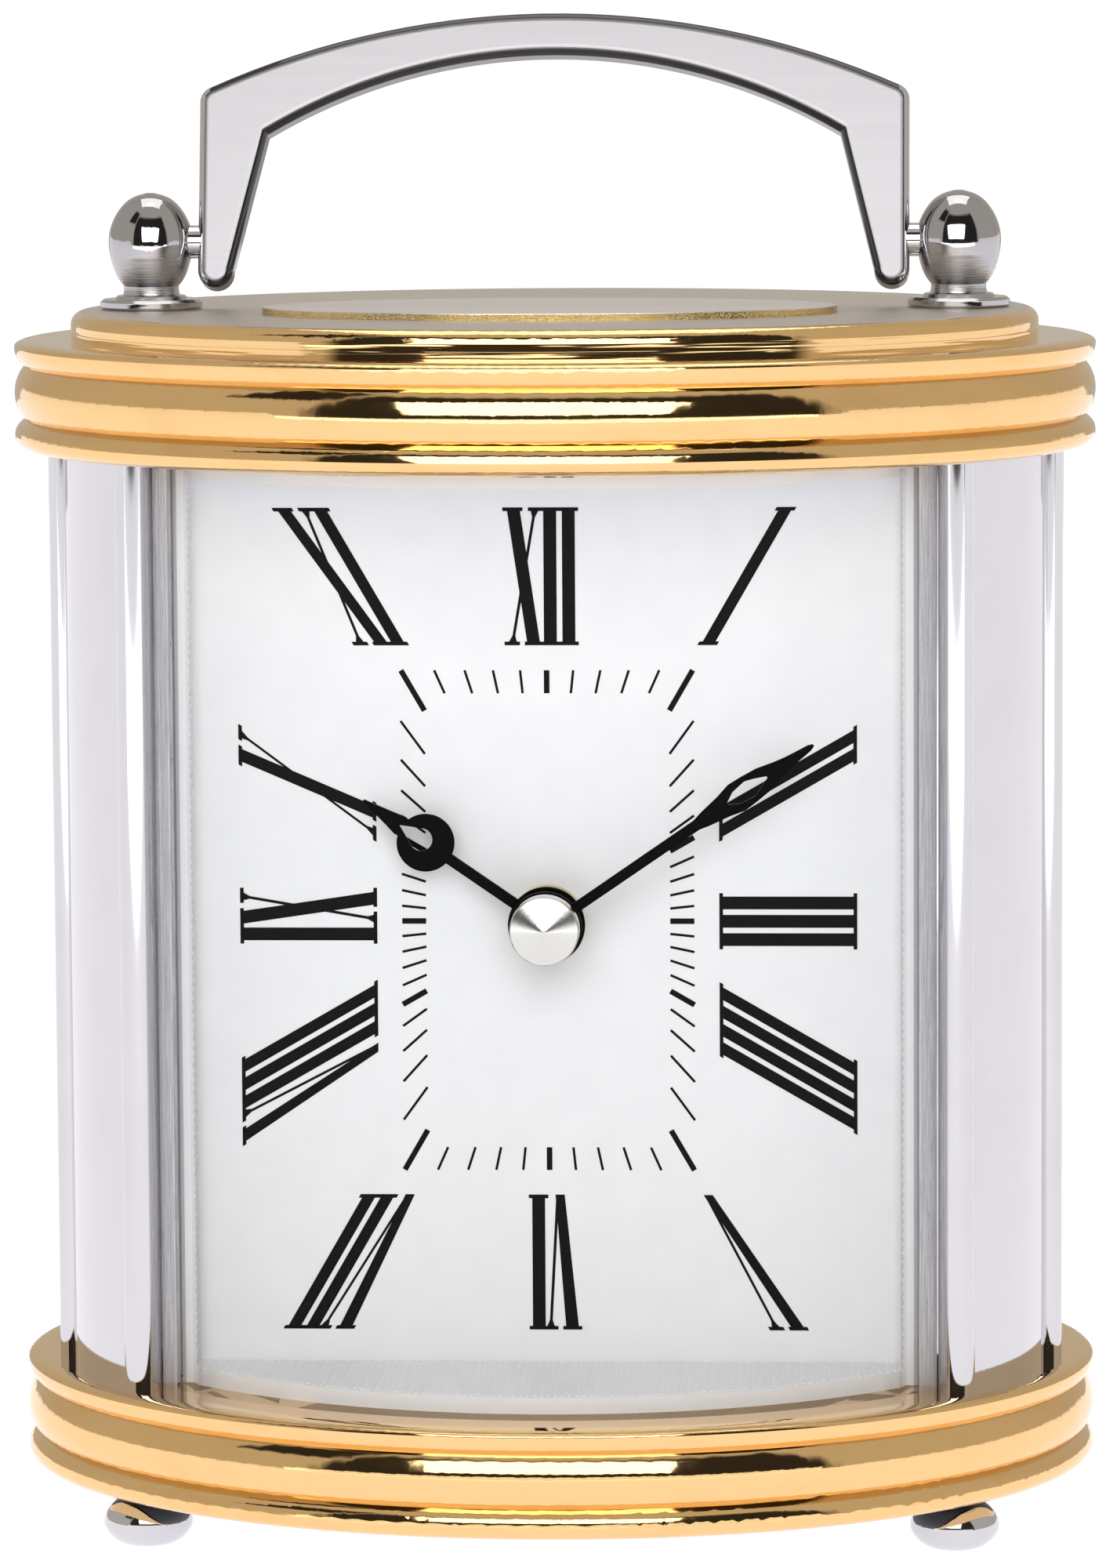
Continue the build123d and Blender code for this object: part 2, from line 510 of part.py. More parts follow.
def handle():
    """Arched flat bar with tapering legs and two trunnions that turn in the finials; it leans back at rest."""
    top = PIVOT_Z + HANDLE_RISE
    w, sx = HANDLE_HALF_W, HANDLE_SHOULDER_X
    out_c = top - HANDLE_OUT_R
    in_c = top - HANDLE_CROWN - HANDLE_IN_R
    z_corner = out_c + math.sqrt(HANDLE_OUT_R ** 2 - w ** 2)
    z_shoulder = in_c + math.sqrt(HANDLE_IN_R ** 2 - sx ** 2)
    end = PIVOT_Z - HANDLE_LEG_DROP
    r = HANDLE_LEG_W / 2
    outer = ThreePointArc((-w, z_corner), (0, top), (w, z_corner))
    right = Line((w, z_corner), (w, end + r))
    toe_r = ThreePointArc((w, end + r), (w - r, end), (w - 2 * r, end + r))
    leg_r = Line((w - 2 * r, end + r), (sx, z_shoulder))
    inner = ThreePointArc((sx, z_shoulder), (0, top - HANDLE_CROWN), (-sx, z_shoulder))
    leg_l = Line((-sx, z_shoulder), (-w + 2 * r, end + r))
    toe_l = ThreePointArc((-w + 2 * r, end + r), (-w + r, end), (-w, end + r))
    left = Line((-w, end + r), (-w, z_corner))
    face = make_face([outer, right, toe_r, leg_r, inner, leg_l, toe_l, left])
    bar = slab(face, -HANDLE_T / 2, HANDLE_T / 2)
    shoulders = [e for e in bar.edges().filter_by(Axis.Y) if e.center().Z > z_corner - 0.5]
    bar = fillet(shoulders, 1.7)
    rim = [e for e in bar.edges() if abs(abs(e.center().Y) - HANDLE_T / 2) < 1e-3]
    bar = fillet(rim, HANDLE_EDGE)
    for s in (-1, 1):
        a, b = sorted((s * (w - 1.5), s * (w + TRUNNION_L)))
        bar += rod_x(0, PIVOT_Z, TRUNNION_R, a, b)
    return Pos(0, 0, PIVOT_Z) * Rot(-HANDLE_LEAN, 0, 0) * Pos(0, 0, -PIVOT_Z) * bar


# ================================================================ gears
def gear_face(teeth, module, angle, add=0.8, ded=1.1):
    """Involute gear outline in (X, Z) with one tooth centred on `angle` degrees above +X."""
    rp = module * teeth / 2
    rb = rp * math.cos(math.radians(20))
    ra, rf = rp + add * module, rp - ded * module
    inv = math.tan(math.radians(20)) - math.radians(20)
    half = math.pi / 2 / teeth * (1 - GEAR_PLAY)

    def flank(r):
        if r <= rb:
            return half + inv
        a = math.acos(rb / r)
        return half + inv - (math.tan(a) - a)

    radii = [rf] + [max(rb, rf + 0.01) + (ra - max(rb, rf + 0.01)) * i / 4 for i in range(5)]
    points = []
    for i in range(teeth):
        mid = math.radians(angle) + 2 * math.pi * i / teeth
        tooth = [(r, mid - flank(r)) for r in radii] + [(r, mid + flank(r)) for r in reversed(radii)]
        points += [(r * math.cos(t), r * math.sin(t)) for r, t in tooth]
    return make_face(Polyline(*points, close=True).edges())


WHEEL_X = CENTRES * math.cos(math.radians(GEAR_DIR))
WHEEL_Z = SHAFT_Z + CENTRES * math.sin(math.radians(GEAR_DIR))
KNOB_X = 2 * WHEEL_X
KNOB_Z = 2 * WHEEL_Z - SHAFT_Z
WALL_Y = MOV_Y0 + MOV_FRONT_T               # inside face of the movement's front wall
GEAR_B0 = WALL_Y + 0.3                      # hour wheel plane
GEAR_A0 = GEAR_B0 + GEAR_T + GEAR_GAP       # minute wheel plane
LID_Y = MOV_Y1 - LID_T                      # inside face of the lid
BAY_Z0 = SHAFT_Z - MOV_HALF + MOV_WALL
BAY_Z1 = BAY_Z0 + BAY_H
HOUR_Y = DIAL_Y - HOUR_GAP                  # back of the hour hand
MINUTE_Y = DIAL_Y - MINUTE_GAP              # back of the minute hand


def gear(teeth, module, angle, x, z, y0):
    return slab(Pos(x, z) * gear_face(teeth, module, angle), y0, y0 + GEAR_T)


def minute_arbor():
    solid = rod_y(0, SHAFT_Z, ARBOR_R, MINUTE_Y, GEAR_A0 + 0.2)
    solid += gear(PINION_1, MOD_1, GEAR_DIR, 0, SHAFT_Z, GEAR_A0)
    solid += rod_y(0, SHAFT_Z, PIVOT_R, GEAR_A0 + 0.1, LID_Y + 0.8)
    return solid + rod_y(0, SHAFT_Z, THREAD_R, MINUTE_Y - HAND_T - 2.2, MINUTE_Y + 0.1)


def minute_wheel():
    turn = GEAR_DIR + 180 + 180 / WHEEL_1
    solid = gear(WHEEL_1, MOD_1, turn, WHEEL_X, WHEEL_Z, GEAR_A0)
    solid += rod_y(WHEEL_X, WHEEL_Z, MOD_2 * PINION_2 / 2 - MOD_2, GEAR_B0 + GEAR_T - 0.1, GEAR_A0 + 0.1)
    solid += gear(PINION_2, MOD_2, GEAR_DIR + 180, WHEEL_X, WHEEL_Z, GEAR_B0)
    return solid - rod_y(WHEEL_X, WHEEL_Z, 0.7 + RUN_FIT, GEAR_B0 - 1, GEAR_A0 + GEAR_T + 1)


def hour_wheel():
    solid = gear(WHEEL_2, MOD_2, GEAR_DIR + 180 / WHEEL_2, 0, SHAFT_Z, GEAR_B0)
    solid += rod_y(0, SHAFT_Z, PIPE_R, HOUR_Y - HAND_T - 0.2, GEAR_B0 + GEAR_T)
    return solid - rod_y(0, SHAFT_Z, ARBOR_R + RUN_FIT, HOUR_Y - 5, GEAR_B0 + 5)


def setting_knob():
    solid = gear(PINION_1, MOD_1, GEAR_DIR + 180, KNOB_X, KNOB_Z, GEAR_A0)
    solid += rod_y(KNOB_X, KNOB_Z, 0.7, WALL_Y - 0.7, GEAR_A0 + 0.1)
    solid += rod_y(KNOB_X, KNOB_Z, 1.0, GEAR_A0 + GEAR_T - 0.1, MOV_Y1 + 1)
    knob = Pos(KNOB_X, KNOB_Z) * Circle(5.0)
    for i in range(16):
        a = 2 * math.pi * i / 16
        knob -= Pos(KNOB_X + 5.1 * math.cos(a), KNOB_Z + 5.1 * math.sin(a)) * Circle(0.5)
    return solid + slab(knob, MOV_Y1 + 0.4, MOV_Y1 + 3.6)


# ================================================================ movement
def movement_case():
    h, z = MOV_HALF, SHAFT_Z
    solid = box(-h, h, MOV_Y0, MOV_Y1, z - h, z + h)
    solid -= box(-h + MOV_WALL, h - MOV_WALL, WALL_Y, MOV_Y1 + 1, BAY_Z0, BAY_Z1)
    solid -= box(-h + MOV_WALL, h - MOV_WALL, WALL_Y, LID_Y, BAY_Z1 + MOV_WALL, z + h - MOV_WALL)
    solid -= box(-h - 1, h + 1, LID_Y, MOV_Y1 + 1, BAY_Z1 + MOV_WALL / 2, z + h + 1)
    solid += rod_y(0, z, BUSH_R, MOV_Y0 - BUSH_L, MOV_Y0 + 0.5)
    solid -= rod_y(0, z, PIPE_R + RUN_FIT, MOV_Y0 - BUSH_L - 1, WALL_Y + 1)
    solid += rod_y(WHEEL_X, WHEEL_Z, 0.7, WALL_Y - 0.5, GEAR_A0 + GEAR_T + 0.1)
    for px, pz in PCB_POSTS:
        solid += rod_y(px, pz, 1.3, WALL_Y - 0.5, PCB_Y)
    return solid - rod_y(KNOB_X, KNOB_Z, 0.7 + RUN_FIT, WALL_Y - 1.0, WALL_Y + 1)


def movement_lid():
    h, z = MOV_HALF, SHAFT_Z
    lid = box(-h, h, LID_Y, MOV_Y1, BAY_Z1 + MOV_WALL / 2 + 0.05, z + h)
    lid += rod_y(WHEEL_X, WHEEL_Z, 1.1, GEAR_A0 + GEAR_T + 0.3, LID_Y + 0.1)
    lid -= rod_y(KNOB_X, KNOB_Z, 1.0 + RUN_FIT, LID_Y - 1, MOV_Y1 + 1)
    return lid - rod_y(0, z, PIVOT_R + RUN_FIT, LID_Y - 1, LID_Y + 0.9)


PCB_Y = WALL_Y + 6.0
PCB_X0, PCB_X1 = PCB_EDGE - MOV_HALF, PCB_EDGE - MOV_HALF + PCB_SIZE
PCB_Z0, PCB_Z1 = SHAFT_Z + MOV_HALF - PCB_EDGE - PCB_SIZE, SHAFT_Z + MOV_HALF - PCB_EDGE
PCB_POSTS = [(PCB_X0 + 2.0, PCB_Z0 + 2.0), (PCB_X1 - 2.0, PCB_Z0 + 2.0), (PCB_X0 + 2.0, PCB_Z1 - 2.0)]


def circuit_board():
    board = box(PCB_X0, PCB_X1, PCB_Y, PCB_Y + 1.0, PCB_Z0, PCB_Z1)
    mid_x, mid_z = (PCB_X0 + PCB_X1) / 2, (PCB_Z0 + PCB_Z1) / 2
    return board + rod_y(mid_x, mid_z, 3.0, PCB_Y + 0.9, PCB_Y + 2.0)


def drive_coil():
    y, z = WALL_Y + 3.0, PCB_Z0 + 8.0
    x0, x1 = PCB_X0 + 2.0, PCB_X1 - 2.0
    coil = rod_x(y, z, 2.4, x0, x1)
    return coil + rod_x(y, z, 2.95, x0 - 0.8, x0) + rod_x(y, z, 2.95, x1, x1 + 0.8)


CELL_Y = WALL_Y + CELL_R
CELL_Z = (BAY_Z0 + BAY_Z1) / 2


def battery():
    x0 = -(CELL_L + CELL_NUB) / 2
    can = rod_x(CELL_Y, CELL_Z, CELL_R, x0, x0 + CELL_L)
    return can + rod_x(CELL_Y, CELL_Z, 2.6, x0 + CELL_L - 0.2, x0 + CELL_L + CELL_NUB)


def contact_positive():
    x = (CELL_L + CELL_NUB) / 2
    wall = MOV_HALF - MOV_WALL
    leaf = box(x, x + CONTACT_T, CELL_Y - 4, CELL_Y + 4, CELL_Z - 5, CELL_Z + 5)
    return leaf + box(x, wall, CELL_Y - 4, CELL_Y + 4, CELL_Z + 5 - CONTACT_T, CELL_Z + 5)


def contact_negative():
    x = -(CELL_L + CELL_NUB) / 2
    wall = -(MOV_HALF - MOV_WALL)
    leaf = box(wall, wall + CONTACT_T, CELL_Y - 4, CELL_Y + 4, CELL_Z - 5, CELL_Z + 5)
    turns = Pos(0, 0, 0) * Cone(4.0, 2.6, x - wall - CONTACT_T)
    return leaf + Pos((x + wall + CONTACT_T) / 2, CELL_Y, CELL_Z) * Rot(0, 90, 0) * turns


def bush_nut():
    face = Pos(0, SHAFT_Z) * (Circle(NUT_R) - Circle(BUSH_R + NUT_FIT))
    for a in (0, 180):
        c, s = math.cos(math.radians(a)), math.sin(math.radians(a))
        face -= Pos(NUT_R * c, SHAFT_Z + NUT_R * s) * Rectangle(1.0, 1.0)
    return slab(face, DIAL_Y - NUT_T, DIAL_Y)


# ================================================================ hands
def hand_outline(stations):
    """Symmetric outline pointing to +Z from (distance, half width) stations."""
    right = [(w, d) for d, w in stations]
    left = [(-w, d) for d, w in reversed(stations) if w > 1e-6]
    return make_face(Polyline(*right, *left, close=True).edges())


def hour_hand():
    """Ring and teardrop hand; its shape is set out back from the tip, so the arm takes up the length."""
    tip = TRAY_HALF_W - HAND_SIDE_GAP - HOUR_SHORT
    blade = hand_outline([(0, 0.56), (tip - 9.95, 0.56), (tip - 4.55, 1.05), (tip - 3.35, 0.78),
                          (tip - 1.55, 0.42), (tip, 0.12)])
    ring = Pos(0, tip - 7.79) * Circle(3.0)
    drop = Pos(0, tip - 7.2) * Circle(1.2)
    drop += make_face(Polyline((-1.13, tip - 6.8), (1.13, tip - 6.8), (0, tip - 4.5), close=True).edges())
    face = blade + ring - drop + Circle(HOUR_HUB_R) - Circle(PIPE_R)
    return Pos(0, 0, SHAFT_Z) * Rot(0, HOUR_ANGLE, 0) * slab(face, HOUR_Y - HAND_T, HOUR_Y)


def minute_hand():
    tip = TRAY_HALF_W - HAND_SIDE_GAP
    back_from_tip = [(14.6, 0.56), (13.6, 0.8), (11.2, 1.2), (9.6, 1.6), (8.0, 1.52), (6.3, 1.36),
                     (4.4, 0.88), (3.4, 0.68), (2.6, 0.56), (0.5, 0.32), (0, 0.12)]
    hole_stations = [(10.7, 0.12), (9.6, 0.72), (8.0, 0.95), (7.0, 0.62), (5.8, 0.1)]
    blade = hand_outline([(0, 0.53)] + [(tip - d, w) for d, w in back_from_tip])
    hole = hand_outline([(tip - d, w) for d, w in hole_stations])
    face = blade - hole + Circle(MINUTE_HUB_R) - Circle(THREAD_R)
    return Pos(0, 0, SHAFT_Z) * Rot(0, MINUTE_ANGLE, 0) * slab(face, MINUTE_Y - HAND_T, MINUTE_Y)


def cone_nut():
    y = MINUTE_Y - HAND_T
    cone = Pos(0, y - CONE_H / 2, SHAFT_Z) * Rot(90, 0, 0) * Cone(CONE_R, 0.4, CONE_H)
    return cone - rod_y(0, SHAFT_Z, THREAD_R + 0.02, y - 2.25, y + 1)


# ================================================================ write the pieces
def write(name, shape):
    if isinstance(shape, list):
        out = Compound(children=[s.solid() if hasattr(s, "solid") else s for s in shape])
    else:
        solids = shape.solids()
        out = solids[0] if len(solids) == 1 else Compound(children=list(solids))
    out.label = name
    export_step(out, os.path.join("parts", name + ".step"))


def main():
    os.makedirs("parts", exist_ok=True)
    ring = moulding_ring()
    right = side_right()
    write("base_moulding", base_moulding(ring))
    write("cap_moulding", cap_moulding(ring))
    write("bottom_plate", bottom_plate())
    for name, sx, sy in (("front_left", -1, -1), ("front_right", 1, -1), ("rear_left", -1, 1), ("rear_right", 1, 1)):
        write("foot_" + name, foot(sx * FOOT_X, sy * FOOT_Y))
    write("case_screws_lower", case_screws(False))
    write("case_screws_upper", case_screws(True))
    write("side_right", right)
    write("side_left", mirrored(right))
    write("rear_shell", rear_shell())
    write("rear_door", rear_door())
    write("door_pull", door_pull())
    write("hinge_pins", hinge_pins())
    write("window", window())
    write("dial_surround", dial_surround())
    write("dial", dial())
    write("cap_tier", cap_tier())
    write("plaque", plaque())
    write("finial_left", finial(-1))
    write("finial_right", finial(1))
    write("finial_nuts", finial_nuts())
    write("handle", handle())
    write("minute_arbor", minute_arbor())
    write("minute_wheel", minute_wheel())
    write("hour_wheel", hour_wheel())
    write("setting_knob", setting_knob())
    write("movement_case", movement_case())
    write("movement_lid", movement_lid())
    write("circuit_board", circuit_board())
    write("drive_coil", drive_coil())
    write("battery", battery())
    write("contact_positive", contact_positive())
    write("contact_negative", contact_negative())
    write("bush_nut", bush_nut())
    write("hour_hand", hour_hand())
    write("minute_hand", minute_hand())
    write("cone_nut", cone_nut())


main()
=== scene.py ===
# %% [markdown]
# This lesson dresses an oval mantel clock. Its solids are already made: two beaded gold mouldings, ribbed
# chrome sides, a bowed clear front, a white dial with hands, and a carrying handle between two ball finials.
# Here each of them gets its finish, and the small things that are too fine for the solids are made: the
# printed dial, the ribs of the tray behind the window and the grip of the door's pull.

# %% Load the solids and keep their box
import json
import math

import bmesh
import bpy
from mathutils import Matrix, Vector


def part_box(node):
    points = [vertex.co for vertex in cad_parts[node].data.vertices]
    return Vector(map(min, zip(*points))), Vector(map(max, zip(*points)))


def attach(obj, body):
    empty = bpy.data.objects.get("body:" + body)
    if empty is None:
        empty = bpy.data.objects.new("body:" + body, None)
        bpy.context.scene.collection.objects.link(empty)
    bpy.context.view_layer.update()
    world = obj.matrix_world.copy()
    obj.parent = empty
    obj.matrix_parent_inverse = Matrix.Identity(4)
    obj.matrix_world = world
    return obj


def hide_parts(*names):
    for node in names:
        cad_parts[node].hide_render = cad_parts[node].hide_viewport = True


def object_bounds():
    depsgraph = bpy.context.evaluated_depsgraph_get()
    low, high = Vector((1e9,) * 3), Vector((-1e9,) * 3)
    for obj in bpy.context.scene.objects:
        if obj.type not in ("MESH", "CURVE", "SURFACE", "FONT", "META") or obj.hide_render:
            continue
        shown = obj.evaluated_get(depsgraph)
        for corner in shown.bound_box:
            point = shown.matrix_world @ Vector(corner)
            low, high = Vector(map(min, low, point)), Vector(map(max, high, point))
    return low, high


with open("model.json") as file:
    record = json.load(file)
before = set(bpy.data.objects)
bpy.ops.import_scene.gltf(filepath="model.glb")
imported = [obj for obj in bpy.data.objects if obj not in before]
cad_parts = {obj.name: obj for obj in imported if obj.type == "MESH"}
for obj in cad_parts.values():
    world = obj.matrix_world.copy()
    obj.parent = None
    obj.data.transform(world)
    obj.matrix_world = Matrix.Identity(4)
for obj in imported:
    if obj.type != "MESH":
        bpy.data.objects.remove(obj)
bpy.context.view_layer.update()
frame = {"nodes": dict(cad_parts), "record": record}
MM = 0.001


def edges(node):
    """Lowest and highest corner of a solid, in millimetres."""
    low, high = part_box(node)
    return low / MM, high / MM


# %% [markdown]
# Node trees are long to write one link at a time. This small class wraps a socket, so that a pattern can be
# written as arithmetic: `1 - mask` or `stripe * 0.2 + 0.1` adds the Math nodes by itself. Every other node
# comes from `add`, which takes its type, its settings and then what its sockets hold.

# %% Sockets that can be added and multiplied
class Wire:
    def __init__(self, tree, socket):
        self.tree, self.socket = tree, socket

    def math(self, operation, *others, first=None):
        values = (first, self) if first is not None else (self, *others)
        return add(self.tree, "ShaderNodeMath", {"operation": operation}, *values)

    def __add__(self, other): return self.math("ADD", other)
    def __sub__(self, other): return self.math("SUBTRACT", other)
    def __mul__(self, other): return self.math("MULTIPLY", other)
    def __truediv__(self, other): return self.math("DIVIDE", other)
    def __pow__(self, other): return self.math("POWER", other)
    def __gt__(self, other): return self.math("GREATER_THAN", other)
    def __lt__(self, other): return self.math("LESS_THAN", other)
    def __abs__(self): return self.math("ABSOLUTE")
    def __neg__(self): return self.math("MULTIPLY", -1.0)
    def __rsub__(self, other): return self.math("SUBTRACT", first=other)
    __radd__, __rmul__ = __add__, __mul__


def put(tree, socket, value):
    if isinstance(value, Wire):
        tree.links.new(value.socket, socket)
    else:
        socket.default_value = value


def add(tree, kind, settings, *values, out=0, **named):
    """A node of any kind: its settings first, then its sockets in order, then those given by name."""
    node = tree.nodes.new(kind)
    for key, value in settings.items():
        setattr(node, key, value)
    for socket, value in zip(node.inputs, values):
        if value is not None:
            put(tree, socket, value)
    for key, value in named.items():
        put(tree, node.inputs[key.replace("_", " ")], value)
    return Wire(tree, node.outputs[out])


def blend_colours(factor, one, two):
    """Colour `one` where the factor is 0, `two` where it is 1."""
    node = factor.tree.nodes.new("ShaderNodeMix")
    node.data_type = "RGBA"
    for number, value in ((0, factor), (6, one), (7, two)):
        put(factor.tree, node.inputs[number], (*value, 1.0) if isinstance(value, tuple) else value)
    return Wire(factor.tree, node.outputs[2])


def rise(value, low, high):
    """0 below `low`, 1 above `high`, straight between them."""
    return add(value.tree, "ShaderNodeMapRange", {"clamp": True}, value, low, high, 0.0, 1.0)


def between(value, low, high, soft):
    return rise(value, low - soft, low + soft) * (1 - rise(value, high - soft, high + soft))


print("helpers ready")


# %% [markdown]
# A finish starts as a Principled shader whose steady numbers are set on its own sockets. `place` gives the
# position on the piece in millimetres, since each piece lies at the origin with its place in its mesh.
# Stretched noise on that position makes grain, polishing lines and the slow waviness of plated metal.

# %% Start a finish
def finish(name, **steady):
    material = bpy.data.materials.new(name)
    material.use_nodes = True
    shader = material.node_tree.nodes["Principled BSDF"]
    for key, value in steady.items():
        socket = shader.inputs[key.replace("_", " ")]
        socket.default_value = (*value, 1.0) if isinstance(value, tuple) and len(value) == 3 else value
    return material, material.node_tree, shader


def place(tree):
    """Position on the piece as three wires, in millimetres, and as one vector wire."""
    where = add(tree, "ShaderNodeTexCoord", {}, out=3)
    scaled = add(tree, "ShaderNodeVectorMath", {"operation": "SCALE"}, where, Scale=1000.0)
    parts = add(tree, "ShaderNodeSeparateXYZ", {}, scaled)
    outputs = parts.socket.node.outputs
    return [Wire(tree, outputs[i]) for i in range(3)], scaled


def grain(vector, stretch, detail=2.0, rough=0.5):
    """Noise from 0 to 1; `stretch` is its number of cells per millimetre along X, Y and Z."""
    tree = vector.tree
    spread = add(tree, "ShaderNodeVectorMath", {"operation": "MULTIPLY"}, vector, stretch)
    return add(tree, "ShaderNodeTexNoise", {}, Vector=spread, Scale=1.0, Detail=detail, Roughness=rough)


def feed(shader, socket, wire):
    """Joins a wire to one of the shader's sockets."""
    wire.tree.links.new(wire.socket, shader.inputs[socket])


def relief(shader, height, depth_mm):
    """Raises the surface by up to `depth_mm` where the height is 1."""
    tree = height.tree
    bump = add(tree, "ShaderNodeBump", {}, Strength=1.0, Distance=depth_mm * MM, Height=height)
    feed(shader, "Normal", bump)


print("finish helpers ready")


# %% [markdown]
# The camera stands a little to the right of the clock and above it, with a long lens, so the upright edges
# stay parallel and the top of the cap just shows. Its place is set from the middle of the clock's box.

# %% Camera
low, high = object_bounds()
middle = (low + high) / 2
EYE_RIGHT, EYE_BACK, EYE_UP = 0.04157, 0.79436, 0.17179
EYE = Vector((middle.x + EYE_RIGHT, middle.y - EYE_BACK, low.z + EYE_UP))
YAW, PITCH, ROLL = 0.0528, 0.118, -0.0061
LENS, SENSOR = 173.16, 36.0

ahead = Vector((-math.sin(YAW) * math.cos(PITCH), math.cos(YAW) * math.cos(PITCH), -math.sin(PITCH)))
side = Vector((math.cos(YAW), math.sin(YAW), 0))
over = side.cross(ahead)
right = side * math.cos(ROLL) + over * math.sin(ROLL)
up = over * math.cos(ROLL) - side * math.sin(ROLL)
lens = bpy.data.cameras.new("camera")
lens.lens, lens.sensor_width = LENS, SENSOR
camera = bpy.data.objects.new("camera", lens)
camera.matrix_world = Matrix.Translation(EYE) @ Matrix((right, up, -ahead)).transposed().to_4x4()
bpy.context.scene.collection.objects.link(camera)
bpy.context.scene.camera = camera
bpy.context.scene.view_settings.view_transform = "Standard"
print("camera", [round(v, 3) for v in EYE])

# %% [markdown]
# Polished metal shows the room more than itself, so the room is designed first. It is a pale studio: grey
# walls at the sides and back, a brighter ceiling and ground, and a dark stretch in front of the clock, from
# just under the horizon to half-way up. Against that dark stretch a light panel draws a white bar along each
# bead of gold. The camera itself sees a plain white backdrop in every direction, which reflections don't.

# %% Room
world = bpy.data.worlds.new("studio")
world.use_nodes = True
room = world.node_tree
sky = add(room, "ShaderNodeTexCoord", {})
outputs = add(room, "ShaderNodeSeparateXYZ", {}, sky).socket.node.outputs
east, north, height = (Wire(room, outputs[i]) for i in range(3))
turn = east.math("ARCTAN2", -north) * (180 / math.pi)
lift = height.math("ARCSINE") * (180 / math.pi)
SIDE_WALLS, BACK_WALL, CEILING, GROUND, DARK, BACKDROP = 0.56, 0.52, 0.95, 1.05, 0.03, 1.08
WARM_WALL, COOL_GROUND, WHITE = (1.0, 0.94, 0.84), (1.0, 0.99, 1.02), (1.0, 1.0, 1.0)
CORNER_TURN, REAR_TURN, FRONT_TURN, OVERHEAD_LIFT = (105, 130), (150, 165), (-50, 55), (78, 86)
SHADE_TURN, SHADE_FOOT, SHADE_HEAD = (-44, 52), (-9.0, -7.0), (50, 56)
WEDGE_TURN, WEDGE_LIFT = (-72, -46), (36, 58)
SOFT, FRONT_SOFT, GROUND_SOFT = 2, 3, 2.0
HORIZON, REAR_DROP, FRONT_DROP = 0.5, 26, 9.0
glow = SIDE_WALLS + rise(abs(turn), *CORNER_TURN) * (BACK_WALL - SIDE_WALLS)
shade = between(turn, *SHADE_TURN, SOFT) * rise(lift, *SHADE_FOOT) * (1 - rise(lift, *SHADE_HEAD))
wedge = between(turn, *WEDGE_TURN, SOFT) * between(lift, *WEDGE_LIFT, SOFT)
dark = shade.math("MAXIMUM", wedge)
glow = glow * (1 - dark) + DARK * dark
overhead = rise(lift, *OVERHEAD_LIFT)
glow = glow * (1 - overhead) + CEILING * overhead
behind = rise(abs(turn), *REAR_TURN)
in_front = between(turn, *FRONT_TURN, FRONT_SOFT)
horizon = HORIZON - behind * REAR_DROP - in_front * FRONT_DROP
ground = 1 - rise(lift - horizon, 0.0, GROUND_SOFT)
glow = glow * (1 - ground) + GROUND * ground
walls = blend_colours(ground, WARM_WALL, COOL_GROUND)
seen = add(room, "ShaderNodeLightPath", {})
glow = glow * (1 - seen) + BACKDROP * seen
walls = blend_colours(seen, walls, WHITE)
room.links.new(walls.socket, room.nodes["Background"].inputs["Color"])
room.links.new(glow.socket, room.nodes["Background"].inputs["Strength"])
bpy.context.scene.world = world
print("room nodes", len(room.nodes))

# %% [markdown]
# Four area lights finish the studio. A large panel above the front draws the bars in the gold, a low card
# lights the undersides, a ceiling light softens the shadows, and a fill light in front is hidden from
# reflections, so that it brightens the white dial without showing in the metal. None of them is seen by the
# camera.

# %% Lights
def panel(name, centre, aim, width, depth, radiance, mirrored=True):
    """A soft panel; its power follows from how bright its face should look."""
    light = bpy.data.lights.new(name, "AREA")
    light.shape, light.size, light.size_y = "RECTANGLE", width, depth
    light.energy = radiance * math.pi * width * depth
    lamp = bpy.data.objects.new(name, light)
    toward = Vector(aim) - Vector(centre)
    lamp.matrix_world = Matrix.Translation(centre) @ toward.to_track_quat("-Z", "Y").to_matrix().to_4x4()
    lamp.visible_camera = False
    lamp.visible_glossy = mirrored
    bpy.context.scene.collection.objects.link(lamp)


panel("front_panel", (-0.010, -0.40, 0.262), (0.0, -0.02, 0.07), 0.36, 0.25, 3.1)
panel("low_card", (0.0, -0.487, 0.038), (0.0, 0.0, 0.038), 1.1, 0.074, 1.05)
panel("ceiling_light", (0.0, 0.25, 1.3), (0.0, 0.0, 0.0), 0.9, 0.9, 1.3)
panel("front_fill", (0.05, -1.3, 0.35), (0.0, 0.0, 0.07), 1.0, 0.8, 1.05, mirrored=False)

# %% [markdown]
# The floor is a bounded sheet of pale paper. It glows a little by itself, so that it stays nearly white and
# still takes a faint shadow under the clock.

# %% Floor
plane = bpy.data.meshes.new("floor")
REACH, FRONT, BACK = 3.0, -0.95, 1.2
corners = [(-REACH, FRONT, 0), (REACH, FRONT, 0), (REACH, BACK, 0), (-REACH, BACK, 0)]
plane.from_pydata(corners, [], [(0, 1, 2, 3)])
floor = bpy.data.objects.new("floor", plane)
bpy.context.scene.collection.objects.link(floor)
paper, tree, shader = finish("pale_paper", Base_Color=(0.15, 0.15, 0.152), Roughness=0.9,
                             Emission_Strength=1.02)
shader.inputs["Specular IOR Level"].default_value = 0.0
shader.inputs["Emission Color"].default_value = (1.0, 0.985, 1.02, 1)
floor.data.materials.append(paper)
print("floor", REACH * 2, "m")

# %% [markdown]
# Gold plate over polished brass reflects almost everything and tints it warm. The polish is never perfect:
# slow waves bend the reflected edges, and faint cloudy patches are a little duller.

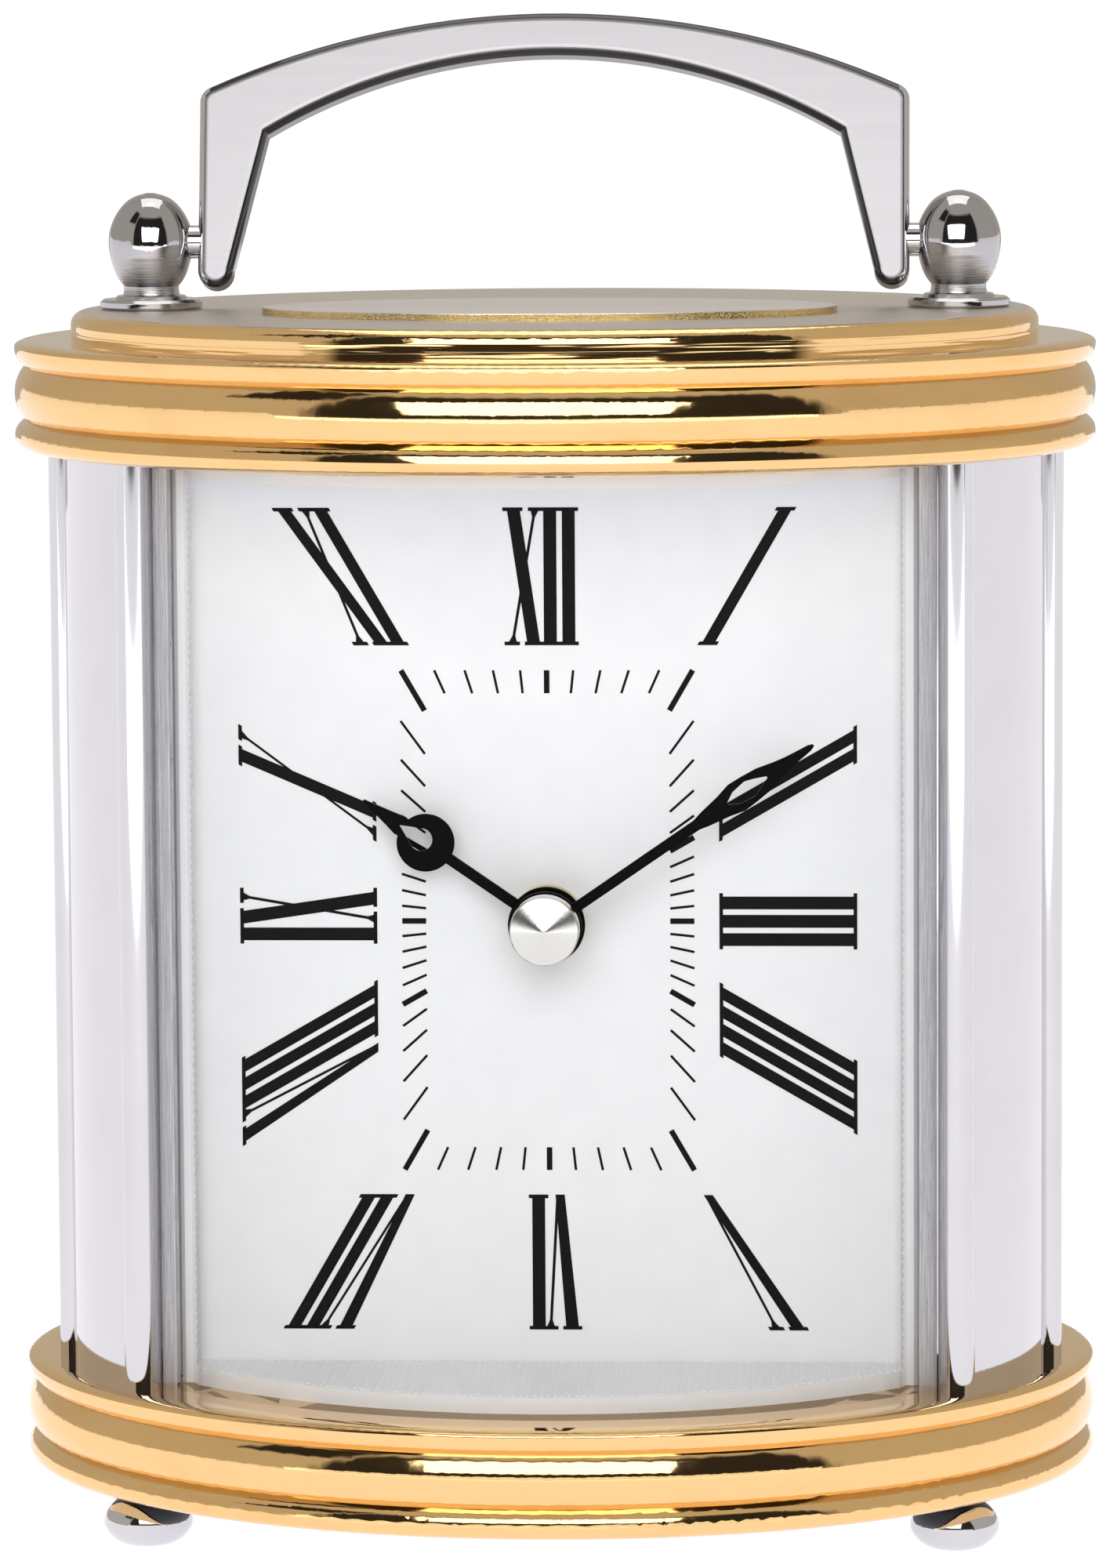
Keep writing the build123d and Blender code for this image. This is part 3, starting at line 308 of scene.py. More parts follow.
# %% Gold plate
GOLD = (0.90, 0.60, 0.275)
GOLD_DEEP = (0.84, 0.49, 0.18)


def plated(name, colour, deep, roughness, wave):
    material, tree, shader = finish(name, Metallic=1.0)
    spot = place(tree)[1]
    cloud = grain(spot, (0.12, 0.12, 0.35), 3.0)
    patches = rise(cloud, 0.52, 0.75)
    feed(shader, "Base Color", blend_colours(patches * 0.35, colour, deep))
    fine = grain(spot, (2.2, 2.2, 9.0), 2.0)
    feed(shader, "Roughness", roughness + patches * 0.03 + fine * 0.03)
    slow = grain(spot, (0.07, 0.07, 0.5), 1.0)
    relief(shader, slow + grain(spot, (0.9, 0.9, 2.2), 1.0) * 0.03, wave)
    return material


gold = plated("gold_plate", GOLD, GOLD_DEEP, 0.045, 0.035)
print(gold.name, len(gold.node_tree.nodes), "nodes")

# %% [markdown]
# The tier on top and the plaque before it have flat faces rubbed to a satin, while the edge below stays
# bright. They could be two materials each, but one finish that follows the height tells face from edge by
# itself.

# %% Satin tier and plaque
tier_top = edges("cap_tier")[1].z
plaque_top = edges("plaque")[1].z


def rubbed_face(name, top, edge_depth, face, edge, face_rough, edge_rough, sparkle):
    """Satin on the flat top of a piece, brighter metal on the edge below it."""
    material, tree, shader = finish(name, Metallic=1.0)
    (x, y, z), spot = place(tree)
    flat = rise(z, top - edge_depth, top - edge_depth * 0.4)
    speck = rise(grain(spot, (5.0, 5.0, 7.0), 3.0, 0.7), 0.50, 0.62)
    rim = blend_colours(speck * sparkle, edge, (1.0, 0.93, 0.70))
    feed(shader, "Base Color", blend_colours(flat, rim, face))
    rub = grain(spot, (0.25, 6.0, 1.0), 3.0)
    feed(shader, "Roughness", flat * (face_rough - edge_rough + rub * 0.08) + edge_rough)
    tooth = grain(spot, (9.0, 9.0, 9.0), 2.0) * flat * 0.25 + speck * (1 - flat) * sparkle
    relief(shader, tooth + grain(spot, (0.08, 0.08, 2.2), 1.0) * (1 - flat), 0.03)
    return material


gold_satin = rubbed_face("gold_satin", tier_top, 0.10, (0.64, 0.59, 0.54), GOLD, 0.42, 0.06, 0.0)
silver_satin = rubbed_face("silver_satin", plaque_top, 0.12, (0.84, 0.815, 0.80), (0.72, 0.50, 0.16),
                           0.38, 0.22, 1.0)
print("tier face at", round(tier_top, 2), "plaque face at", round(plaque_top, 2))

# %% [markdown]
# Chrome is nearly colourless, a touch violet, and reflects about two thirds of the light. The drawn side
# pieces keep long faint lines along their length; the turned finials keep fine rings from the lathe where the
# polisher could not reach, low on the ball and round the neck.

# %% Chrome
CHROME = (0.66, 0.65, 0.675)


def chrome_finish(name, stretch, wave, colour=CHROME, ring_from=None, ring_to=None):
    material, tree, shader = finish(name, Metallic=1.0)
    (x, y, z), spot = place(tree)
    haze = rise(grain(spot, (0.15, 0.15, 0.1), 3.0), 0.45, 0.8)
    hazed = tuple(c * 0.93 for c in colour)
    feed(shader, "Base Color", blend_colours(haze * 0.5, colour, hazed))
    fine = grain(spot, stretch, 2.0)
    shine = 0.035 + haze * 0.02 + fine * 0.03
    height = fine * 0.05 + grain(spot, (0.06, 0.06, 0.03), 1.0)
    if ring_from is not None:
        rings = between(z, ring_from, ring_to, 0.5)
        cut = add(tree, "ShaderNodeCombineXYZ", {}, 0.0, 0.0, z * 7.0)
        lathe = grain(cut, (1.0, 1.0, 1.0), 4.0, 0.7)
        height = height + rings * lathe * 1.6
        shine = shine + rings * lathe * 0.16
    feed(shader, "Roughness", shine)
    relief(shader, height, wave)
    return material


chrome_drawn = chrome_finish("chrome_drawn", (3.0, 3.0, 0.02), 0.03)
chrome_cast = chrome_finish("chrome_cast", (0.8, 0.8, 0.8), 0.03)
print("chrome", chrome_drawn.name, chrome_cast.name)

# %% [markdown]
# The handle leans back, so its flat faces are found by their distance from a leaning middle plane. They are
# satin. Its long edges are painted nearly black, a painted reflection of the dark room, and the outer sides
# of its legs are plain chrome. The finials are chrome painted darker, again a painted reflection of the dark
# room, with the lathe's rings between the tier and the ball.

# %% Handle and finials
# The third colour is a painted reflection: the handle's long edges are painted nearly black for the dark room
# they mirror.
HANDLE_SATIN, HANDLE_SHADE, HANDLE_EDGE_PAINTED_REFLECTION = (0.43, 0.418, 0.433), (0.39, 0.378, 0.393), (0.08, 0.078, 0.085)
FACE_FROM, FACE_TO = 0.10, 0.03
SIDE_FROM, SIDE_TO = 1.2, 1.0


def brushed_face(name, lean, pivot_z, face_depth, half_width):
    """Satin on the leaning handle's flat faces, a painted dark reflection on its long edges, chrome on its
    outer sides.
    """
    material, tree, shader = finish(name, Metallic=1.0)
    (x, y, z), spot = place(tree)
    depth = abs(y * math.cos(lean) - (z - pivot_z) * math.sin(lean))
    face = rise(depth, face_depth - FACE_FROM, face_depth - FACE_TO)
    brush = grain(spot, (0.05, 7.0, 7.0), 3.0, 0.6)
    satin = blend_colours(brush * 0.4, HANDLE_SATIN, HANDLE_SHADE)
    outside = rise(abs(x), half_width - SIDE_FROM, half_width - SIDE_TO)
    # Painted reflection: the long edges take the nearly black colour, while the outer sides stay chrome.
    rim = blend_colours(outside, HANDLE_EDGE_PAINTED_REFLECTION, CHROME)
    feed(shader, "Base Color", blend_colours(face, rim, satin))
    feed(shader, "Roughness", 0.05 + face * (0.30 + brush * 0.08))
    relief(shader, grain(spot, (0.06, 0.06, 0.06), 1.0) * (1 - face), 0.03)
    return material


HANDLE_LEAN, HANDLE_PIVOT, HALF_THICK, HALF_WIDE = math.radians(14.0), 135.1, 2.0, 37.45
chrome_handle = brushed_face("chrome_handle", HANDLE_LEAN, HANDLE_PIVOT, HALF_THICK, HALF_WIDE)
# The finials' chrome colour is painted darker, a painted reflection of the dark room.
TURNED_CHROME_PAINTED_REFLECTION = (0.50, 0.492, 0.505)
RING_FOOT, RING_HEAD = tier_top + 1.2, edges("finial_left")[1].z - 6.6
chrome_turned = chrome_finish("chrome_turned", (0.8, 0.8, 4.0), 0.03, TURNED_CHROME_PAINTED_REFLECTION, RING_FOOT, RING_HEAD)
print("lathe rings up to", round(RING_HEAD, 1))

# %% [markdown]
# The window is a bent sheet of clear acrylic. Its faces show only a thin reflection, stronger at a slant, so
# a Mix Shader goes from see-through to gloss by the Fresnel rule. The sawn ends beside the ribs are cloudy
# and scratched along their length, which a mask on the width brings in.

# %% Clear acrylic
window_side = edges("window")[1].x
SAWN, SAWN_EDGE = 2.0, 0.25
acrylic, tree, shader = finish("clear_acrylic", Roughness=0.04)
(x, y, z), spot = place(tree)
sawn = rise(abs(x), window_side - SAWN, window_side - SAWN + SAWN_EDGE)
streak = grain(spot, (9.0, 3.0, 0.16), 4.0, 0.7)
specks = rise(grain(spot, (7.0, 7.0, 1.2), 3.0, 0.8), 0.62, 0.70)
dull = blend_colours(rise(streak, 0.35, 0.7), (0.42, 0.42, 0.44), (0.85, 0.84, 0.88))
dull = blend_colours(specks, dull, (0.04, 0.04, 0.04))
feed(shader, "Base Color", blend_colours(sawn, (0.02, 0.02, 0.02), dull))
feed(shader, "Roughness", 0.03 + sawn * 0.4)
clear = add(tree, "ShaderNodeBsdfTransparent", {}, (0.985, 0.99, 0.992, 1.0))
slant = add(tree, "ShaderNodeFresnel", {}, 1.33)
share = (slant * 0.18) * (1 - sawn) + sawn * (0.45 + streak * 0.45)
mixed = add(tree, "ShaderNodeMixShader", {}, share, clear, Wire(tree, shader.outputs[0]))
tree.links.new(mixed.socket, tree.nodes["Material Output"].inputs["Surface"])
print("sawn ends from", round(window_side - SAWN, 2), "mm")

# %% [markdown]
# The plain finishes come next, the matt and glossy plastics and the black paint of the hands. Each has the
# mould texture or wear of the real thing at its own scale.

# %% Plastics and paint
def moulded(name, colour, roughness, tooth, depth, cells=4.0):
    material, tree, shader = finish(name)
    spot = place(tree)[1]
    mottle = grain(spot, (0.3, 0.3, 0.3), 2.0)
    darker = tuple(c * 0.93 for c in colour)
    feed(shader, "Base Color", blend_colours(mottle, colour, darker))
    pores = grain(spot, (cells, cells, cells), 3.0)
    feed(shader, "Roughness", roughness + pores * tooth)
    relief(shader, pores, depth)
    return material


dial_white = moulded("dial_enamel", (0.85, 0.852, 0.86), 0.32, 0.08, 0.002, 2.0)
white_plastic = moulded("frosted_white", (0.92, 0.915, 0.93), 0.40, 0.10, 0.01)
black_plastic = moulded("black_moulding", (0.018, 0.018, 0.019), 0.42, 0.2, 0.03)
white_gear = moulded("white_nylon", (0.82, 0.81, 0.76), 0.38, 0.15, 0.008)


def painted_black(name):
    """Black paint with a few rubbed hairlines."""
    material, tree, shader = finish(name)
    shader.inputs["Specular IOR Level"].default_value = 0.05
    spot = place(tree)[1]
    hair = rise(grain(spot, (0.5, 0.5, 9.0), 4.0, 0.8), 0.66, 0.74)
    feed(shader, "Base Color", blend_colours(hair * 0.3, (0.002, 0.002, 0.002), (0.04, 0.04, 0.045)))
    feed(shader, "Roughness", 0.40 + hair * 0.2)
    relief(shader, grain(spot, (5.0, 5.0, 5.0), 2.0), 0.004)
    return material


black_paint = painted_black("hand_black")
print("plastics", dial_white.name, white_plastic.name, black_plastic.name, white_gear.name)

# %% [markdown]
# Screws, arbor and winding are bare metal. Stretched noise gives each the direction of its tool marks: along
# the wire, round the turned brass, or down the drawn steel.

# %% Bare metals
def bare(name, colour, roughness, stretch):
    material, tree, shader = finish(name, Metallic=1.0)
    spot = place(tree)[1]
    lines = grain(spot, stretch, 3.0, 0.6)
    scratched = tuple(c * 0.6 for c in colour)
    feed(shader, "Base Color", blend_colours(lines * 0.4, colour, scratched))
    feed(shader, "Roughness", roughness + lines * 0.18)
    relief(shader, lines, 0.006)
    return material


steel = bare("plain_steel", (0.60, 0.60, 0.61), 0.26, (1.2, 1.2, 7.0))
brass = bare("turned_brass", (0.80, 0.60, 0.28), 0.22, (0.6, 8.0, 0.6))
copper_wire = bare("copper_winding", (0.75, 0.34, 0.15), 0.30, (9.0, 0.5, 0.5))
print("metals", steel.name, brass.name, copper_wire.name)

# %% [markdown]
# The cone that caps the hands is turned nickel silver. A cone reflects one bright or dark sector per
# direction by itself, so its finish only adds the circular tool marks, as ripples of the distance from its
# axis.

# %% Turned cone
cone_low, cone_high = edges("cone_nut")
axis_x, axis_z = (cone_low.x + cone_high.x) / 2, (cone_low.z + cone_high.z) / 2
turned_nickel, tree, shader = finish("turned_nickel", Metallic=1.0)
(x, y, z), spot = place(tree)
away = ((x - axis_x) * (x - axis_x) + (z - axis_z) * (z - axis_z)) ** 0.5
marks = grain(add(tree, "ShaderNodeCombineXYZ", {}, away * 6.0, 0.0, 0.0), (1.0, 1.0, 1.0), 4.0, 0.7)
feed(shader, "Base Color", blend_colours(marks * 0.5, (0.80, 0.78, 0.74), (0.62, 0.60, 0.56)))
feed(shader, "Roughness", 0.10 + marks * 0.14)
relief(shader, marks, 0.012)
print("cone axis", round(axis_x, 2), round(axis_z, 2), "nodes", len(turned_nickel.node_tree.nodes))

# %% [markdown]
# The cap on the hands is a lathe job: a straight grooved rim and a shallow cone. Spinning half of its outline
# round the axis gives exactly that, and the seam is merged before the faces are turned outwards. The shallow
# slope matters, because it decides which part of the room each sector of the cone shows.

# %% Turn the cone
CONE_R, TIP_R, SLOPE = (cone_high.x - cone_low.x) / 2, 0.25, 0.95
TURN_STEPS = 96
GROOVES, GROOVE_DEPTH, GROOVE_STEP, GROOVE_START = 8, 0.12, 0.22, 0.25
CHAMFER, LIP, LIP_DEPTH, TIP_DEPTH = 0.15, 0.14, 0.16, 0.04


def turned(name, outline, material, body):
    """Spins (radius, depth) points, in millimetres, round the hands' axis."""
    mesh = bmesh.new()
    loop = [mesh.verts.new(((axis_x + r) * MM, y * MM, axis_z * MM)) for r, y in outline]
    rim = [mesh.edges.new(pair) for pair in zip(loop, loop[1:])]
    bmesh.ops.spin(mesh, geom=loop + rim, cent=(axis_x * MM, 0, axis_z * MM), axis=(0, 1, 0),
                   angle=2 * math.pi, steps=TURN_STEPS)
    bmesh.ops.remove_doubles(mesh, verts=mesh.verts, dist=1e-7)
    bmesh.ops.recalc_face_normals(mesh, faces=mesh.faces)
    data = bpy.data.meshes.new(name)
    mesh.to_mesh(data)
    mesh.free()
    data.materials.append(material)
    piece = bpy.data.objects.new(name, data)
    bpy.context.scene.collection.objects.link(piece)
    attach(piece, body)
    return piece


front_y, back_y = cone_low.y, cone_high.y
groove = [(CONE_R - GROOVE_DEPTH * (i % 2), back_y - GROOVE_START - GROOVE_STEP * i)
          for i in range(GROOVES)]
cone_line = [(0.0, back_y), (CONE_R - CHAMFER, back_y), (CONE_R, back_y - CHAMFER)] + groove
cone_line += [(CONE_R, front_y + SLOPE + LIP_DEPTH), (CONE_R - LIP, front_y + SLOPE)]
cone_line += [(TIP_R, front_y + TIP_DEPTH), (0.0, front_y)]
turned_cone = turned("turned_cone", cone_line, turned_nickel, "minute_set")
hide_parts("cone_nut")
print("cone", len(turned_cone.data.polygons), "faces")

# %% [markdown]
# The cell has a printed wrap with a copper-coloured end and bare steel caps, and the board has faint tracks.
# Both patterns follow a measured place on the piece: the share of the cell's length, and crossed waves on the
# board.

# %% Cell and circuit board
CAP_FROM, CAP_TO = 0.70, 0.705
WRAP_FROM, WRAP_TO = 0.03, 0.965
cell_low, cell_high = edges("battery")
cell_wrap, tree, shader = finish("cell_wrap")
(x, y, z), spot = place(tree)
along = (x - cell_low.x) / (cell_high.x - cell_low.x)
cap_end = rise(along, CAP_FROM, CAP_TO)
bare_end = 1 - between(along, WRAP_FROM, WRAP_TO, 0.003)
body_colour = blend_colours(cap_end, (0.02, 0.02, 0.022), (0.72, 0.36, 0.12))
feed(shader, "Base Color", blend_colours(bare_end, body_colour, (0.6, 0.6, 0.6)))
feed(shader, "Metallic", bare_end + cap_end * 0.6 * (1 - bare_end))
feed(shader, "Roughness", 0.25 + grain(spot, (0.4, 3.0, 3.0), 2.0) * 0.12)

board_green, tree, shader = finish("board_green")
(x, y, z), spot = place(tree)
lanes = abs((x + z * 0.5).math("SINE")) + abs((z * 1.7).math("SINE"))
track = rise(lanes, 1.05, 1.15)
feed(shader, "Base Color", blend_colours(track, (0.02, 0.11, 0.04), (0.08, 0.30, 0.12)))
feed(shader, "Roughness", 0.30 + grain(spot, (3.0, 3.0, 3.0), 2.0) * 0.1)
relief(shader, track, 0.03)
print("cell", round(cell_high.x - cell_low.x, 1), "mm long")

# %% [markdown]
# Every solid names a material slot in its record, so most finishes are handed out by slot. A few solids
# share a slot with others but look different up close, and those are named one by one.

# %% Put the finishes on the solids
by_slot = {"gold": gold, "gold_satin": gold_satin, "chrome": chrome_cast, "silver_satin": silver_satin,
           "clear_acrylic": acrylic, "white_plastic": white_plastic, "dial_white": dial_white,
           "black_plastic": black_plastic, "black_paint": black_paint, "steel": steel, "brass": brass,
           "white_gear": white_gear, "board_green": board_green, "copper_wire": copper_wire,
           "cell_wrap": cell_wrap}
by_node = {"side_left": chrome_drawn, "side_right": chrome_drawn, "rear_shell": chrome_drawn,
           "handle": chrome_handle, "finial_left": chrome_turned, "finial_right": chrome_turned,
           "cone_nut": turned_nickel}
for entry in frame["record"]["subparts"]:
    node = entry["node"]
    solid = frame["nodes"][node]
    solid.data.materials.clear()
    solid.data.materials.append(by_node.get(node, by_slot[entry["material_slot"]]))

# %% [markdown]
# The dial is printed, so its figures are flat plates a few hundredths of a millimetre thick on the white
# face. Every figure stands with its foot towards the centre and leans along its own hour line, and its ends
# are cut level with the dial's sides. So each stroke is placed by two numbers: how far round along the cut,
# and how far out from the inner cut to the outer one. The finest strokes keep small flares at their ends.

# %% Where each hour stands
FACE_Y = edges("dial")[0].y
CENTRE_Z = axis_z
SIDE_CUTS = (17.8, 32.1)
TOP_CUTS = (28.8, 43.1)
print("dial face at", round(FACE_Y, 2), "centre at", round(CENTRE_Z, 2))


def hour_place(hour):
    """Foot point, foot-to-head line and clockwise direction of an hour, in (x, z) from the centre."""
    angle = math.radians(30 * hour)
    out = Vector((math.sin(angle), math.cos(angle)))
    if hour in (11, 12, 1, 5, 6, 7):
        inner, outer = (out * (cut / abs(out.y)) for cut in TOP_CUTS)
        round_way = Vector((1 if out.y > 0 else -1, 0))
    else:
        inner, outer = (out * (cut / abs(out.x)) for cut in SIDE_CUTS)
        round_way = Vector((0, -1 if out.x > 0 else 1))
    return inner, outer - inner, round_way


# %% Strokes of a figure
BAR, HAIR, SERIF = 1.34, 0.30, 0.38
FIGURE_TALL = SIDE_CUTS[1] - SIDE_CUTS[0]
FLARE_SHARE, FLARE_HALF = 0.07, 0.55
SPACING = {"I": {"I": 1.92, "X": 2.75, "V": 2.35}, "X": {"I": 2.75, "X": 3.4, "V": 3.0},
           "V": {"I": 2.35, "X": 3.0, "V": 3.0}}


def stroke(inner_s, outer_s, inner_w, outer_w):
    return [(inner_s - inner_w / 2, 0.0), (outer_s - outer_w / 2, 1.0),
            (outer_s + outer_w / 2, 1.0), (inner_s + inner_w / 2, 0.0)]


def serif(s, half, t):
    inward = SERIF / FIGURE_TALL * (1 if t < 0.5 else -1)
    return [(s - half, t), (s - half, t + inward), (s + half, t + inward), (s + half, t)]


def flare(s, t, lean):
    inward = FLARE_SHARE * (1 if t < 0.5 else -1)
    tip = s + lean * abs(inward)
    return [(s - FLARE_HALF, t), (tip - HAIR / 2, t + inward),
            (tip + HAIR / 2, t + inward), (s + FLARE_HALF, t)]


def figure(text):
    """Stroke outlines of a Roman figure as (across, out) points, centred."""
    shapes, at = [], 0.0
    for i, letter in enumerate(text):
        if letter == "I":
            shapes += [stroke(at, at, BAR, BAR), serif(at, 1.02, 0.0), serif(at, 1.02, 1.0)]
        elif letter == "X":
            shapes += [stroke(at + 1.05, at - 1.05, BAR, BAR), stroke(at - 1.2, at + 1.25, HAIR, HAIR)]
            shapes += [serif(at - 1.1, 1.05, 1.0), serif(at + 1.3, 0.8, 1.0)]
            shapes += [serif(at - 1.2, 0.8, 0.0), serif(at + 1.1, 1.0, 0.0)]
            shapes += [flare(at + 1.25, 1.0, -2.4), flare(at - 1.2, 0.0, 2.4)]
        else:
            shapes += [stroke(at + 0.1, at - 1.15, BAR * 0.72, BAR), stroke(at + 0.35, at + 1.15, HAIR, HAIR)]
            shapes += [serif(at - 1.15, 1.0, 1.0), serif(at + 1.15, 0.8, 1.0), flare(at + 1.15, 1.0, -0.8)]
        if i + 1 < len(text):
            at += SPACING[letter][text[i + 1]]
    return [[(s - at / 2, t) for s, t in shape] for shape in shapes]


NUMERALS = "I II III IIII V VI VII VIII IX X XI XII".split()
print("figures", len(NUMERALS), "strokes in VIII", len(figure("VIII")))


# %% Lay the figures on the dial
INK, INK_STEP, INK_LEVELS, SUNK = 0.030, 0.001, 9, 0.004


def plates(name, outlines, thicknesses, material, body):
    """Thin closed plates standing on the dial's face, one for each (x, z) outline."""
    mesh = bmesh.new()
    for outline, thick in zip(outlines, thicknesses):
        front = [mesh.verts.new((x * MM, (FACE_Y - thick) * MM, z * MM)) for x, z in outline]
        back = [mesh.verts.new((x * MM, (FACE_Y + SUNK) * MM, z * MM)) for x, z in outline]
        mesh.faces.new(front)
        mesh.faces.new(back[::-1])
        for i in range(len(front)):
            j = (i + 1) % len(front)
            mesh.faces.new((front[j], front[i], back[i], back[j]))
    bmesh.ops.recalc_face_normals(mesh, faces=mesh.faces)
    data = bpy.data.meshes.new(name)
    mesh.to_mesh(data)
    mesh.free()
    piece = bpy.data.objects.new(name, data)
    bpy.context.scene.collection.objects.link(piece)
    data.materials.append(material)
    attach(piece, body)


dial_ink, tree, shader = finish("dial_ink")
shader.inputs["Specular IOR Level"].default_value = 0.12
spot = place(tree)[1]
scuff = rise(grain(spot, (2.0, 2.0, 2.0), 4.0, 0.8), 0.70, 0.78)
feed(shader, "Base Color", blend_colours(scuff * 0.6, (0.002, 0.002, 0.002), (0.05, 0.04, 0.05)))
feed(shader, "Roughness", 0.40 + scuff * 0.2)

outlines, thicknesses = [], []
for hour, text in enumerate(NUMERALS, start=1):
    foot, line, round_way = hour_place(hour)
    for n, shape in enumerate(figure(text)):
        points = [foot + line * t + round_way * s for s, t in shape]
        outlines.append([(p.x, p.y + CENTRE_Z) for p in points])
        thicknesses.append(INK + INK_STEP * (n % INK_LEVELS))
plates("dial_figures", outlines, thicknesses, dial_ink, "case")
print("strokes printed", len(outlines))

# %% [markdown]
# The minute track is a rule, not a drawing: sixty ticks point at the centre, and each runs from a small
# rectangle to a larger one, so the ticks near the corners come out longer. Geometry Nodes say this once. The
# index gives the angle, the two rectangles give the tick's ends, and every fifth tick is thicker.

# %% Build a node tree with named inputs
def new_tree(name, sizes):
    """An empty tree with named number inputs and a material; returns it with its inputs as wires."""
    tree = bpy.data.node_groups.new(name, "GeometryNodeTree")
    tree.interface.new_socket("Geometry", in_out="OUTPUT", socket_type="NodeSocketGeometry")
    for label in sizes:
        tree.interface.new_socket(label, in_out="INPUT", socket_type="NodeSocketFloat")
    tree.interface.new_socket("Finish", in_out="INPUT", socket_type="NodeSocketMaterial")
    entry = tree.nodes.new("NodeGroupInput")
    wires = {socket.name: Wire(tree, socket) for socket in entry.outputs if socket.name}
    return tree, wires


def close_tree(tree, instances, material):
    """Ends the tree: real meshes instead of instances, and their finish."""
    real = add(tree, "GeometryNodeRealizeInstances", {}, instances)
    done = add(tree, "GeometryNodeSetMaterial", {}, real, Material=material)
    tree.links.new(done.socket, tree.nodes.new("NodeGroupOutput").inputs[0])


def grow(name, tree, sizes, material, body):
    """Runs a tree once and keeps its result as a plain mesh."""
    maker = bpy.data.objects.new(name + "_maker", bpy.data.meshes.new(name + "_maker"))
    bpy.context.scene.collection.objects.link(maker)
    modifier = maker.modifiers.new("grow", "NODES")
    modifier.node_group = tree
    given = {**sizes, "Finish": material}
    for item in tree.interface.items_tree:
        if item.in_out == "INPUT":
            modifier[item.identifier] = given[item.name]
    graph = bpy.context.evaluated_depsgraph_get()
    data = bpy.data.meshes.new_from_object(maker.evaluated_get(graph), depsgraph=graph)
    bpy.data.objects.remove(maker)
    data.name = name
    piece = bpy.data.objects.new(name, data)
    bpy.context.scene.collection.objects.link(piece)
    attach(piece, body)
    print(name, len(data.polygons), "faces")


def copies(tree, count, position, shape, turn_by, size):
    """Copies of a shape on `count` points, each with its own place, turn and size."""
    points = add(tree, "GeometryNodePoints", {}, count)
    placed = add(tree, "GeometryNodeSetPosition", {}, points, Position=position)
    return add(tree, "GeometryNodeInstanceOnPoints", {}, placed, Instance=shape, Rotation=turn_by, Scale=size)


def vector(tree, x, y, z):
    return add(tree, "ShaderNodeCombineXYZ", {}, x, y, z)


def bar(tree):
    """A six-sided bar, one unit across and one long."""
    return add(tree, "GeometryNodeMeshCylinder", {"fill_type": "NGON"}, 6, 1, 1, 0.5, 1.0)


print("node tree helpers ready")

# %% Minute track
TICKS = 60
tree, size = new_tree("minute_track", ["Half width out", "Half height out", "Half width in", "Half height in",
                                       "Fine", "Bold", "Proud", "Face", "Middle"])
index = add(tree, "GeometryNodeInputIndex", {})
angle = index * math.radians(360 / TICKS)
across, upward = angle.math("SINE"), angle.math("COSINE")
to_side, to_top = abs(across).math("MAXIMUM", 1e-6), abs(upward).math("MAXIMUM", 1e-6)
outer = (size["Half width out"] / to_side).math("MINIMUM", size["Half height out"] / to_top)
inner = (size["Half width in"] / to_side).math("MINIMUM", size["Half height in"] / to_top)
half_way = (outer + inner) * 0.5
bold = index.math("MODULO", 5.0) < 0.5
width = size["Fine"] + bold * (size["Bold"] - size["Fine"])
spot = vector(tree, across * half_way, size["Face"] - size["Proud"] * 0.4, size["Middle"] + upward * half_way)
ticks = copies(tree, TICKS, spot,
               add(tree, "GeometryNodeMeshCube", {}, (1.0, 1.0, 1.0)), vector(tree, 0.0, angle, 0.0),
               vector(tree, width, size["Proud"], outer - inner))
close_tree(tree, ticks, size["Finish"])
grow("minute_track", tree, {"Half width out": 15.2 * MM, "Half height out": 26.2 * MM,
                            "Half width in": 12.7 * MM, "Half height in": 23.8 * MM,
                            "Fine": 0.26 * MM, "Bold": 0.58 * MM, "Proud": 0.03 * MM,
                            "Face": FACE_Y * MM, "Middle": CENTRE_Z * MM}, dial_ink, "case")

# %% [markdown]
# Behind the window the white tray is moulded with fine ribs that run from the dial to the glass, and its two
# upright side strips have close rungs like a ladder. Both catch the light as thin pale lines. They are rows
# of low bars: one number sets their spacing, and the bow of the window sets how far forward each one runs.

# %% Ribs of the tray
tray_low, tray_high = edges("dial_surround")
WALL, RIB_INSET, END_GAP = 1.5, 1.7, 0.4
TRAY_HALF = tray_high.x - WALL
FLOOR_Z, ROOF_Z = tray_low.z + RIB_INSET, tray_high.z - RIB_INSET
BOW_R, BOW_Y = 53.1, 14.9
RIB_PITCH = 0.72
RIB_COUNT = int(2 * (TRAY_HALF - END_GAP) / RIB_PITCH)
tree, size = new_tree("tray_ribs", ["Pitch", "Count", "Start", "Bow radius", "Bow centre", "Back", "Floor",
                                    "Roof", "Rib height"])
index = add(tree, "GeometryNodeInputIndex", {})
row = (index > size["Count"] - 0.5)
sideways = size["Start"] + (index - row * size["Count"]) * size["Pitch"]
bow = (size["Bow radius"] * size["Bow radius"] - sideways * sideways) ** 0.5
front = size["Bow centre"] - bow + size["Pitch"]
level = size["Floor"] + row * (size["Roof"] - size["Floor"])
rib_size = vector(tree, size["Pitch"] * 0.62, size["Rib height"] * 2, size["Back"] - front)
ribs = copies(tree, 2 * RIB_COUNT, vector(tree, sideways, (front + size["Back"]) * 0.5, level), bar(tree),
              vector(tree, math.pi / 2, 0.0, 0.0), rib_size)
close_tree(tree, ribs, size["Finish"])
